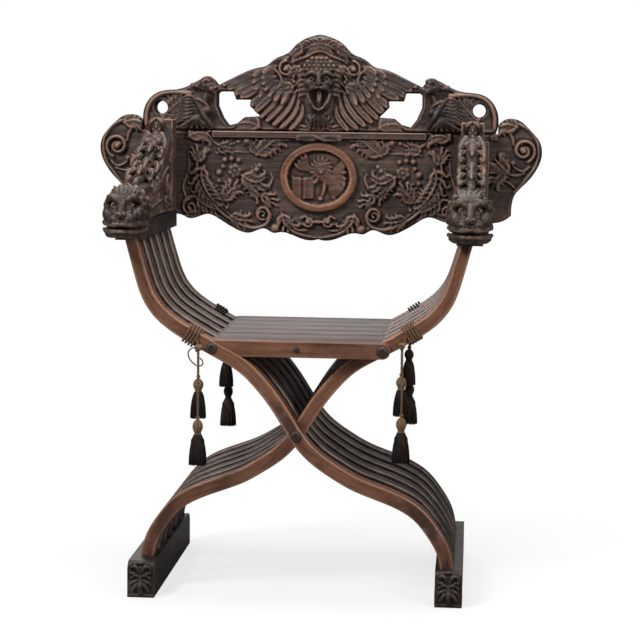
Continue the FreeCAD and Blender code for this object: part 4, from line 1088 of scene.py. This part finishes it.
def arm_figure():
    """A head and shoulders that grow out of acanthus laid along the arm."""
    clay = Clay()
    clay.ball((0, 80, 768), (16, 17, 16), (35, 0, 0))
    clay.balls((9, 66, 770), (7, 6, 7))
    clay.strand([(0, 92, 780), (0, 104, 788)], 7, 6)
    clay.ball((0, 110, 796), (11, 12, 12))
    clay.ball((0, 117, 801), (13, 12, 12))
    clay.pair([(3, 112, 809), (11, 108, 805), (14, 110, 793), (13, 114, 781)], 4, 4.5, 4.5, 3)
    clay.pair([(2, 104, 810), (9, 101, 805), (12, 105, 797)], 3, 3.4, 2.5)
    clay.ball((0, 97, 795), (2.4, 3, 3.4))
    clay.balls((4.5, 99, 791), (3, 3, 3))
    clay.ball((0, 99, 787), (3.6, 3, 2))
    clay.pair([(12, 86, 782), (20, 72, 768), (20, 56, 754), (13, 48, 752)], 6, 6, 5, 3.5)
    clay.strand([(0, 66, 762), (0, 30, 738), (0, -10, 722), (0, -60, 708), (0, -108, 702)],
                12, 11, 10, 9, 7)
    for y, z, size in TUFTS:
        clay.pair([(4, y + 14, z + 3), (14, y + 8 * size, z + 9), (21, y - 8 * size, z + 6),
                   (20, y - 18 * size, z - 3), (15, y - 14 * size, z + 1)], 6, 7, 6, 4, 3)
        clay.pair([(10, y + 4, z - 2), (20, y - 6, z - 9), (22, y - 20, z - 16)], 6, 6, 3)
        clay.strand([(0, y + 12, z + 6), (0, y - 2, z + 14), (0, y - 20 * size, z + 7)], 5, 8, 3)
    skin = clay.skin(1.5)
    skin.press_pair([(5, 98, 799)] * 2, 3, 2.6)
    skin.press([(-3, 96, 788.5), (3, 96, 788.5)], 1.6, 1.2)
    for y, z, size in TUFTS:
        skin.press_pair([(7, y + 6, z + 12), (8, y - 8 * size, z + 13),
                         (9, y - 20 * size, z + 6)], 3.0, 3.6)
        skin.press_pair([(14, y + 4, z + 15), (17, y - 10 * size, z + 12)], 2.0, 2.2)
    return skin


def side_figure():
    """A draped bust in half relief at the end of the crest, hair tied in a knot."""
    clay = Clay()
    clay.ball((-205, 213, 870), (11, 10, 13), (0, 18, 0))
    clay.ball((-210, 215, 875), (12, 9, 11))
    clay.ball((-237, 215, 872), (5.5, 5.5, 5.5))
    clay.strand([(-218, 214, 876), (-228, 214, 870), (-236, 214, 872)], 4, 3, 3)
    for number in range(9):
        angle = math.radians(50 + 22 * number)
        clay.ball((-208 + 12.5 * math.cos(angle), 209, 875 + 11 * math.sin(angle)), (4, 4, 4))
        clay.ball((-210 + 7 * math.cos(angle), 206, 876 + 6 * math.sin(angle)), (3.4, 3, 3.4))
    clay.ball((-194.5, 208, 868), (3, 3, 3.5))
    clay.ball((-197, 208, 860), (3.6, 3, 2.8))
    clay.ball((-201, 205, 865), (5, 4, 5))
    clay.strand([(-208, 216, 858), (-216, 217, 842)], 7, 8)
    clay.ball((-224, 216, 828), (18, 10, 17))
    clay.ball((-210, 210, 826), (8.5, 8, 8.5))
    clay.strand([(-228, 211, 842), (-217, 206, 820), (-207, 208, 806), (-201, 211, 798)],
                6.5, 5.5, 5, 4.5)
    clay.strand([(-238, 214, 843), (-226, 207, 846), (-212, 207, 838), (-203, 211, 828)],
                2.5, 3.5, 3, 2)
    for number in range(6):
        share = number / 5
        clay.strand([(-228 + 8 * share, 213, 822), (-238 + 16 * share, 209, 808),
                     (-262 + 56 * share, 213, 794)], 3, 4, 3)
    for number in range(7):
        rise = 6.5 * number
        clay.strand([(-228, 215, 846 - 0.6 * rise), (-244, 211, 852 - rise),
                     (-258 - 2.0 * number, 215, 846 - 1.15 * rise)], 3, 4, 2)
    skin = clay.skin(1.3)
    skin.press([(-198, 204, 871), (-202, 203, 872)], 2.2, 1.8)
    skin.press([(-194, 205, 863.5), (-199, 205, 863)], 1.4, 1.0)
    for number in range(6):
        rise = 6.5 * number + 3
        skin.press([(-230, 209, 848 - rise), (-256, 209, 846 - 1.1 * rise)], 1.8, 1.3)
    return skin


def lion_mask():
    """A lion's face with a curled cap of mane and an open, gaping mouth."""
    clay = Clay()
    clay.ball((0, 219, 893), (30, 13, 32))
    clay.ball((0, 216, 910), (27, 13, 19))
    clay.balls((17, 212, 878), (12, 11, 11))
    clay.balls((25, 217, 868), (7, 8, 16))
    clay.pair([(5, 205, 892), (13, 202.5, 898), (26, 208, 892)], 3.5, 4.4, 3)
    clay.strand([(0, 207, 904), (0, 203, 890), (0, 201, 879)], 5, 5, 6)
    clay.balls((6, 202, 876), (5, 4, 4.4))
    clay.balls((12.5, 208, 888), (5, 4, 3.6))
    clay.pair([(2, 203, 869), (11, 202.5, 870), (20, 207, 864)], 4.4, 5.4, 3.4)
    clay.pair([(0, 205, 829), (11, 205, 836), (19, 206, 850), (21, 209, 864)], 4.4, 4, 3.6, 3.4)
    clay.pair([(0, 211, 823), (16, 211, 832), (25, 213, 848), (29, 215, 866)], 4, 3.8, 3.6, 3.4)
    clay.strand([(0, 214, 860), (0, 211, 842)], 5, 4)
    for height, half, count in ((923, 13, 4), (917, 21, 6), (910, 26, 7), (903, 29, 8),
                                (896, 31, 2)):
        for turn in range(count):
            across = half * (2 * turn / (count - 1) - 1)
            clay.ball((across, 205 + 0.008 * across ** 2, height), (4.3, 3.6, 4))
    for turn in range(6):
        fall = 9 * turn
        clay.pair([(29 - 0.1 * fall, 212, 902 - fall), (36, 211, 900 - fall),
                   (37, 213, 893 - fall)], 3.4, 3.8, 2.4)
    for turn in range(5):
        across = 9 * (turn - 2)
        clay.strand([(0.2 * across, 212, 824), (0.8 * across, 213, 808), (across, 216, 795)],
                    2.5, 4.4, 3)
    skin = clay.skin(1.2)
    skin.press_pair([(11, 203, 887), (15, 204, 887)], 3.6, 3.4)
    skin.press([(0, 203, 861), (0, 205, 840)], 10, 10)
    skin.press_pair([(8, 204, 860), (8, 205, 850)], 6, 6)
    skin.press_pair([(5, 198, 874)] * 2, 2.4, 2.4)
    skin.press([(0, 201, 911), (0, 202, 898)], 2, 1.8)
    skin.press_pair([(4, 200, 866), (16, 203, 864)], 1.6, 1.4)
    return skin


def moulding_scroll():
    """A knotted scroll with rolled ends, laid over the middle of the moulding."""
    low, high = (np.array(corner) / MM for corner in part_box("top_moulding"))
    y, z = low[1] + 1.5, high[2] - 10
    clay = Clay()
    clay.pair([(9, y, z + 1), (22, y, z + 2), (34, y, z + 1)], 4.2, 4.6, 5.2)
    clay.pair([(9, y, z - 5), (22, y + 1, z - 5.5), (33, y, z - 5)], 2.8, 3, 3.2)
    clay.balls((38, y, z - 1.5), (6, 5.5, 7))
    clay.strand([(-12, y - 1, z + 4), (-3, y - 2.5, z), (3, y - 2.5, z - 2), (12, y - 1, z - 6)],
                2.6, 3.4, 2.6)
    clay.strand([(-12, y, z - 6), (-4, y - 1, z - 2), (4, y - 1, z), (12, y, z + 4)], 2.6, 3, 2.6)
    skin = clay.skin(1.2)
    skin.press_pair([(39, y - 6, z - 1.5)] * 2, 2.6, 2)
    return skin


ARM_X = 286
HEAD_PLACE = (-175.4, 615)
for word, side in SIDES:
    head = lion_head().piece(word + "_lion_head", "sculpted", (side * ARM_X, *HEAD_PLACE), -side)
    stands_for(head, word + "_lion_head")
    figure = arm_figure().piece(word + "_arm_figure", "sculpted", (side * ARM_X, 0, 0), -side)
    rides(figure, body_of_node(word + "_arm_scroll"))
    stands_for(side_figure().piece(word + "_figure", "sculpted", side=-side), word + "_figure")
stands_for(lion_mask().piece("crest_mask", "sculpted"), "crest_mask")
rides(moulding_scroll().piece("moulding_scroll", "carved"), body_of_node("top_moulding"))


# Cords and tassels
def cotton(name, dark, light, turns=5, slant=900.0, netted=False):
    """Twisted cotton with a little dust: slanting threads, or a net of cords that cross; the
    grooves between threads and cords are painted dark as shade.
    """
    finish = Finish(name)
    place = finish.node("ShaderNodeUVMap", {"uv_map": "twist"})
    around, along = (finish.node("ShaderNodeSeparateXYZ", {}, {0: place}, out=k) for k in (0, 1))
    solid = finish.node("ShaderNodeTexCoord", out="Object")
    dust = finish.noise(solid, 220 if netted else 260, 3, 0.6)
    # The dark colour is painted shade in the grooves between the twisted threads and between the
    # net's cords; dust mottles it.
    if netted:
        waves = [(around * (math.pi * 8) + along * (way * 620.0)).sine() for way in (1, -1)]
        cords = [wave.math("ABSOLUTE", wave).power(6) for wave in waves]
        ridge = cords[0].math("MAXIMUM", *cords)
        groove_shade_mix, rough = (ridge + (dust - 0.5) * 0.6).within(0.1, 0.8), 0.8 + 0.1 * dust
        height, lift = ridge + dust * 0.3, 0.9
    else:
        ridge = (around * (2 * math.pi * turns) + along * slant).sine() * 0.5 + 0.5
        groove_shade_mix, rough = (ridge * 0.6 + dust * 0.5).within(0.2, 0.9), 0.78 + 0.15 * dust
        height, lift = ridge * 0.7 + dust * 0.6, 0.5
    return finish.surface(finish.mix(groove_shade_mix, dark, light), rough, height, lift,
                          {"Sheen Weight": 0.05, "Specular IOR Level": 0.2})


# Each end: the name and colours of its cord, and those of its tassels' threads
COTTONS = {
    "front": ("tan", ((0.085, 0.045, 0.024), (0.31, 0.19, 0.11)),
              "brown", ((0.006, 0.004, 0.003), (0.024, 0.014, 0.010))),
    "rear": ("dark", ((0.010, 0.008, 0.006), (0.045, 0.034, 0.026)),
             "dark", ((0.010, 0.007, 0.006), (0.060, 0.042, 0.032))),
}
threads = {
    end: {"cord": cotton(cord + " cord", *cord_colours),
          "net": cotton(cord + " net", *cord_colours, netted=True),
          "skirt": cotton(skirt + " tassel threads", *skirt_colours, 3, 160.0)}
    for end, (cord, cord_colours, skirt, skirt_colours) in COTTONS.items()
}


def crosswise(line):
    """Two crosswise directions at each point of a line, without twist."""
    run = np.gradient(line, axis=0)
    run /= np.linalg.norm(run, axis=1)[:, None]
    across = np.cross(run[0], (0, 0, 1) if abs(run[0, 2]) < 0.9 else (1, 0, 0))
    normals = []
    for way in run:
        across = across - way * (across @ way)
        across /= np.linalg.norm(across)
        normals.append(across)
    normals = np.array(normals)
    return normals, np.cross(run, normals)


def tube(line, radius, sides):
    """Points, faces and twist coordinates of a round closed tube along a line."""
    first, second = crosswise(line)
    turns = np.linspace(0, 2 * math.pi, sides, endpoint=False)
    radii = np.broadcast_to(radius, len(line))
    ring = np.cos(turns)[:, None] * first[:, None] + np.sin(turns)[:, None] * second[:, None]
    points = (line[:, None] + radii[:, None, None] * ring).reshape(-1, 3)
    twist = np.stack([np.tile(turns / (2 * math.pi), len(line)),
                      np.repeat(gone_along(line) * MM, sides)], 1)
    return points, tube_faces(len(line), sides), twist


def tubes_piece(name, parts, finish, body):
    """One piece made of several tubes or turned forms."""
    points, faces, twist, count = [], [], [], 0
    for part_points, part_faces, part_twist in parts:
        points.append(part_points)
        twist.append(part_twist)
        faces += [tuple(k + count for k in face) for face in part_faces]
        count += len(part_points)
    piece = piece_from(name, np.vstack(points) * MM, faces, finish)
    set_uv(piece, "twist", np.vstack(twist))
    return rides(piece, body)


TWIST_LENGTH = 7.5
CORD_RADIUS = 2.0
WINDING_RADIUS = 2.1
SLACK_RADIUS = 1.4


def two_ply(line, radius):
    """The two strands of a cord, twisted about its line."""
    first, second = crosswise(line)
    parts = []
    for start in (0, math.pi):
        turned = (start + 2 * math.pi * gone_along(line) / TWIST_LENGTH)[:, None]
        strand = line + 0.46 * radius * (np.cos(turned) * first + np.sin(turned) * second)
        parts.append(tube(strand, 0.54 * radius, 6))
    return parts


def spline_line(points):
    """Points read from the smooth NURBS line through a cord's route, in mm."""
    curve = bpy.data.curves.new("route", "CURVE")
    curve.dimensions = "3D"
    spline = curve.splines.new("NURBS")
    spline.points.add(len(points) - 1)
    for point, place in zip(spline.points, points):
        point.co = (*place, 1)
    spline.order_u = 3
    spline.use_endpoint_u = True
    spline.resolution_u = 12
    holder = bpy.data.objects.new("route", curve)
    mesh = bpy.data.meshes.new_from_object(holder)
    line = np.array([vert.co[:] for vert in mesh.vertices])
    bpy.data.objects.remove(holder)
    return spaced(line, step=0.8)


def knot(centre, size, radius):
    """An overhand knot, drawn up tight."""
    t = np.linspace(0, 2 * math.pi, 60)
    loop = np.stack([np.sin(t) + 2 * np.sin(2 * t), -np.sin(3 * t) * 1.4,
                     np.cos(t) - 2 * np.cos(2 * t)], axis=1)
    return tube(np.array(centre) + size / 3 * loop, radius, 7)


def turned(centre, profile):
    """A turned form: a profile of radius and height swept round an upright axis."""
    radius, height = np.array(profile, dtype=float).T
    line = np.stack([np.zeros(len(height)), np.zeros(len(height)), height], axis=1)
    line = line + centre
    points, faces, twist = tube(line, 1.0, 28)
    rows = np.repeat(np.arange(len(height)), 28)
    return line[rows] + (points - line[rows]) * radius[rows, None], faces, twist


class Grower(Tree):
    """A geometry node tree with named inputs, run once for a plain mesh."""

    def __init__(self, name, inputs):
        self.tree = bpy.data.node_groups.new(name, "GeometryNodeTree")
        face = self.tree.interface
        self.names = {
            label: face.new_socket(label, in_out="INPUT",
                                   socket_type="NodeSocket" + kind).identifier
            for label, kind in inputs.items()}
        face.new_socket("Geometry", in_out="OUTPUT", socket_type="NodeSocketGeometry")
        source = self.tree.nodes.new("NodeGroupInput")
        self.named = {label: Value(self, source.outputs[label]) for label in inputs}

    def grow(self, values):
        holder = linked("grown", bpy.data.meshes.new("grown"))
        growth = holder.modifiers.new("grown", "NODES")
        growth.node_group = self.tree
        for label, value in values.items():
            growth[self.names[label]] = value
        graph = bpy.context.evaluated_depsgraph_get()
        mesh = bpy.data.meshes.new_from_object(holder.evaluated_get(graph))
        holder.modifiers.clear()
        bpy.data.objects.remove(holder)
        return mesh


def skirt_tree():
    """The threads of a tassel's skirt, hung round a ring."""
    tree = Grower("tassel skirt", {
        "Threads": "Int", "Neck Radius": "Float", "Flare": "Float", "Length": "Float",
        "Thickness": "Float", "Seed": "Int", "Material": "Material"})
    named = tree.named
    ring = tree.node("GeometryNodeMeshCircle", {}, {
        "Vertices": named["Threads"], "Radius": named["Neck Radius"]})
    ends = {label: tree.node("ShaderNodeCombineXYZ", {}, {
        "X": named["Flare"] * out, "Z": named["Length"] * down})
        for label, out, down in (("Middle", 0.95, -0.35), ("End", 1.0, -1.0))}
    path = tree.node("GeometryNodeCurveQuadraticBezier", {}, {
        "Resolution": 6, "Start": (0, 0, 0), **ends})
    profile = tree.node("GeometryNodeCurvePrimitiveCircle", {}, {
        "Resolution": 4, "Radius": named["Thickness"]})
    strand = tree.node("GeometryNodeCurveToMesh", {}, {
        "Curve": path, "Profile Curve": profile, "Fill Caps": True})
    wobble = tree.node("FunctionNodeRandomValue", {"data_type": "FLOAT"}, {
        "Min": -0.12, "Max": 0.12, "Seed": named["Seed"]}, out=1)
    angle = tree.node("GeometryNodeInputIndex") / named["Threads"] * (2 * math.pi) + wobble
    turn = tree.node("ShaderNodeCombineXYZ", {}, {"Z": angle})
    scale = tree.node("FunctionNodeRandomValue", {"data_type": "FLOAT_VECTOR"}, {
        0: (0.72, 1, 0.95), 1: (1.05, 1, 1.0), "Seed": named["Seed"]})
    hung = tree.node("GeometryNodeInstanceOnPoints", {}, {
        "Points": ring, "Instance": strand, "Rotation": turn, "Scale": scale})
    real = tree.node("GeometryNodeRealizeInstances", {}, {"Geometry": hung})
    done = tree.node("GeometryNodeSetMaterial", {}, {
        "Geometry": real, "Material": named["Material"]})
    tree.node("NodeGroupOutput", {}, {"Geometry": done})
    return tree


skirt = skirt_tree()


SKIRTS = ((64, 6.4, 6.6), (44, 5.4, 7.6))  # threads, neck radius, and how far in they end


def make_tassel(name, top, length, radius, kit, body, seed):
    """Net-covered head, bound neck and a skirt of threads."""
    top = np.array(top)
    head = [(0.2, 0.5), (2.6, 0), (5.2, -0.03 * length), (7.8, -0.08 * length),
            (8.9, -0.14 * length), (8.5, -0.2 * length), (6.6, -0.26 * length),
            (5.0, -0.3 * length), (0.2, -0.31 * length)]
    pieces = [tubes_piece(name + "_head", [turned(top, head)], kit["net"], body)]
    collar = []
    t = np.linspace(0, 2 * math.pi, 30)
    for turn in range(3):
        collar.append(tube(top + np.stack([
            5.2 * np.cos(t), 5.2 * np.sin(t),
            np.full(30, -0.3 * length - 1.9 * turn)], axis=1), 1.05, 6))
    pieces.append(tubes_piece(name + "_collar", collar, kit["cord"], body))
    core = [(0.2, -0.31 * length), (6.2, -0.33 * length), (0.76 * radius, -0.45 * length),
            (0.86 * radius, -0.75 * length), (0.88 * radius, -0.97 * length),
            (0.2, -0.975 * length)]
    pieces.append(tubes_piece(name + "_core", [turned(top, core)], kit["skirt"], body))
    neck = top - (0, 0, 0.34 * length)
    for layer, (count, start, inset) in enumerate(SKIRTS):
        mesh = skirt.grow({"Threads": count, "Neck Radius": start, "Flare": radius - inset,
                           "Length": 0.655 * length, "Thickness": 0.8, "Seed": seed + layer,
                           "Material": kit["skirt"]})
        points = np.empty((len(mesh.vertices), 3))
        mesh.vertices.foreach_get("co", points.ravel())
        around = np.arctan2(points[:, 1], points[:, 0]) / (2 * math.pi)
        part = (points + neck, [tuple(face.vertices) for face in mesh.polygons],
                np.stack([around * 12, -points[:, 2] * MM], axis=1))
        pieces.append(tubes_piece(f"{name}_skirt_{layer + 1}", [part], kit["skirt"], body))
        bpy.data.meshes.remove(mesh)
    return pieces


# The knot beside each winding, where the first tassel of its pair hangs, in mm
KNOT_SIZE, KNOT_STEP = 4.4, 16
BEAD_SIZE, BEAD_RADIUS = 2.4, 1.5
KNOTS = {
    ("left", "front"): (-164.1, -182.9, 432.1), ("left", "rear"): (-164.1, 170.1, 432.1),
    ("right", "front"): (176.4, -152.1, 438.9), ("right", "rear"): (176.4, 200.9, 438.9),
}
# The slack loop under the left front knot, across and up from it
SLACK_LOOP = ((0, 0), (-9, 1), (-18, -6), (-17, -17), (-9, -27), (1, -32), (8, -28), (7, -21),
              (2, -17))
# Each tassel of a pair: shift across, fall, length, step away from the rib, skirt radius
HANGING = ((-0.8, 53, 68, 0, 13.0), (0.8, 120, 78, 16, 15.0))


WINDING_X = {"left": -178.0, "right": 190.0}
WINDING_TURNS = 4
WINDING_PITCH = 5.6
WINDING_REACH = (15.4, 18.4)  # from the rib's middle to the cord's, over it and before it
SEAT_LEVEL = 400 * MM


def winding_line(word, end, rib):
    """Four turns of cord drawn round a rib, from the tail above to the knot beside it."""
    centre = rib_lines[rib]
    arm = np.flatnonzero(centre[:, 1] > SEAT_LEVEL)
    at = arm[np.abs(centre[arm, 0] - WINDING_X[word] * MM).argmin()]
    run = centre[at + 1] - centre[at - 1]
    run = np.array([run[0], 0, run[1]]) / np.linalg.norm(run)
    over = np.array([-run[2], 0, run[0]])
    over *= np.sign(over[2])
    low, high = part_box(rib)
    origin = np.array([centre[at, 0], (low[1] + high[1]) / 2, centre[at, 1]]) / MM
    angles = np.linspace(0, 2 * math.pi * WINDING_TURNS, 200)
    cos, sin = np.cos(angles), np.sin(angles)
    reach = (np.abs(cos / WINDING_REACH[0]) ** 5 + np.abs(sin / WINDING_REACH[1]) ** 5) ** -0.2
    drift = WINDING_PITCH * (angles / (2 * math.pi) - 2) + 1.6 * np.sin(angles + 0.6)
    way = 1 if end == "rear" else -1
    points = (origin + (reach * cos)[:, None] * over
              + (reach * sin)[:, None] * np.array([0, way, 0]) + drift[:, None] * run)
    first = np.array(KNOTS[word, end])
    lead = origin + 12 * run + (0, 19 * way, 0)
    return spaced(np.vstack([points, [lead, 0.5 * (lead + first), first]]), step=1.2)


for (word, end), first in KNOTS.items():
    kit = threads[end]
    way = 1 if end == "rear" else -1
    name = f"{word}_{end}"
    body = name + "_pair"
    rib = f"{word}_rib_{6 if end == 'rear' else 1}"
    turns = two_ply(winding_line(word, end, rib), WINDING_RADIUS)
    wrap = tubes_piece(name + "_winding", turns, kit["cord"], body_of_node(rib))
    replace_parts(wrap, word + "_cord_wraps")
    second = (first[0], first[1] + KNOT_STEP * way, first[2])
    knots = [knot(place, KNOT_SIZE, WINDING_RADIUS) for place in (first, second)]
    knots += two_ply(spaced(np.array([first, second]), step=1.0), CORD_RADIUS)
    if name == "left_front":
        loop = spline_line([np.array(first) + (x, -5, z) for x, z in SLACK_LOOP])
        knots += two_ply(loop, SLACK_RADIUS)
    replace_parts(tubes_piece(name + "_knots", knots, kit["cord"], body), name + "_tassel_cords")
    for number, (shift, fall, length, out, radius) in enumerate(HANGING):
        start = np.array(first) + (shift, out * way, 0)
        line = spline_line([start - (0, 0, fall * share) for share in (0, 0.12, 0.4, 0.7, 1)])
        foot = line[-1]
        tassel = make_tassel(f"{name}_tassel_{number + 1}", foot, length, radius, kit, body,
                             7 * number + 3)
        drawn_up = knot(foot + (0, 0, 3), BEAD_SIZE, BEAD_RADIUS)
        bead = tubes_piece(f"{name}_bead_{number + 1}", [drawn_up], kit["cord"], body)
        cord = tubes_piece(f"{name}_cord_{number + 1}", two_ply(line, CORD_RADIUS),
                           kit["cord"], body)
        for part in tassel:
            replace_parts(part, name + "_tassels")
        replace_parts(cord, name + "_tassel_cords")
        start * MM
        tassel + [bead]


# Feet: worn runners with a carved toe
def toe_carving():
    """Two small scrolls over a framed leaf, on the front end of a foot."""
    clay = Clay()
    clay.ball((0, -184, 30), (19, 10, 24))
    clay.pair([(3, -192, 45), (8, -194, 54), (16, -192, 52), (17, -193, 44), (11, -195, 43)],
              3.2, 3.6, 3, 2.6, 2.6)
    clay.pair([(2, -194, 36), (9, -195, 40), (17, -193, 34)], 2.6, 3, 2)
    clay.pair([(4, -193, 30), (12, -194, 28), (18, -192, 22)], 2.6, 3, 2)
    clay.strand([(0, -194, 34), (0, -197, 20), (0, -193, 8)], 3, 5, 3)
    clay.pair([(2, -194, 26), (9, -195, 20), (14, -193, 12)], 2.5, 3.4, 2)
    clay.pair([(21, -188, 6), (21, -188, 28), (19, -189, 56)], 2.8, 2.8, 2.8)
    clay.strand([(-21, -189, 4), (0, -190, 4), (21, -189, 4)], 3, 3, 3)
    clay.strand([(-19, -188, 58), (0, -190, 60), (19, -188, 58)], 2.5, 3, 2.5)
    skin = clay.skin(1.2, 1)
    skin.press([(0, -199, 30), (0, -199, 10)], 1.8, 1.5)
    return skin


TOE_X = 262
for word, side in SIDES:
    worn_copy(word + "_foot", "foot", 2.5)
    rides(toe_carving().piece(word + "_toe", "foot", (side * TOE_X, 0, 0)),
          body_of_node(word + "_foot"))


# Stage
CAMERA_PLACE = (0.296, -3.250, 0.847)
CAMERA_YAW = 4.78
CAMERA_DIP = 6.75
CAMERA_ROLL = 0.65
LENS = 104.5
LIT_POINT = Vector((0, 0, 0.55))
# Each lamp: name, place, size and power
LAMPS = (
    ("key", (-1.6, -2.0, 2.7), 1.0, 78),
    ("fill", (2.2, -2.2, 1.9), 1.0, 34),
    ("top", (0.2, 0.2, 2.8), 1.2, 40),
    ("rim", (-0.6, 2.6, 1.9), 1.6, 22),
)


def make_stage():
    scene = bpy.context.scene
    scene.view_settings.view_transform = "Standard"
    bpy.ops.mesh.primitive_plane_add(size=80, location=(0, 0, 0))
    floor = bpy.context.object
    floor.name = "floor"
    paper = Finish("pale floor")
    lit, dim = (paper.node("ShaderNodeBsdfDiffuse", {}, {"Color": (grey, grey, grey, 1)})
                for grey in (0.93, 0.22))
    white = paper.node("ShaderNodeEmission", {}, {"Color": (1, 1, 1, 1), "Strength": 1.0})
    seen = paper.node("ShaderNodeLightPath", out="Is Camera Ray")
    place = paper.node("ShaderNodeTexCoord", out="Object")
    away = paper.node("ShaderNodeVectorMath", {"operation": "LENGTH"}, {0: place}, out="Value")
    clear = 0.72 + 0.28 * away.within(0.35, 0.95)
    bright = paper.node("ShaderNodeMixShader", {}, {0: clear, 1: lit, 2: white})
    shader = paper.node("ShaderNodeMixShader", {}, {0: seen, 1: dim, 2: bright})
    paper.node("ShaderNodeOutputMaterial", {}, {"Surface": shader})
    floor.data.materials.append(paper.material)
    studio = Finish("studio", bpy.data.worlds.new)
    level = 0.24 + 0.76 * studio.node("ShaderNodeLightPath", out="Is Camera Ray")
    back = studio.node("ShaderNodeBackground", {}, {"Color": (1, 1, 1, 1), "Strength": level})
    studio.node("ShaderNodeOutputWorld", {}, {"Surface": back})
    scene.world = studio.material
    for name, place, size, power in LAMPS:
        lamp = bpy.data.lights.new(name, "AREA")
        lamp.size = size
        lamp.energy = power
        light = linked(name, lamp)
        light.location = place
        light.rotation_euler = (LIT_POINT - Vector(place)).to_track_quat("-Z", "Y").to_euler()
    lens = bpy.data.cameras.new("camera")
    lens.lens = LENS
    lens.sensor_width = 36
    lens.clip_start = 0.05
    camera = linked("camera", lens)
    camera.location = CAMERA_PLACE
    aim = Euler((math.radians(90 - CAMERA_DIP), 0, math.radians(CAMERA_YAW)))
    roll = Matrix.Rotation(math.radians(CAMERA_ROLL), 3, "Z")
    camera.rotation_euler = (aim.to_matrix() @ roll).to_euler()
    scene.camera = camera


make_stage()
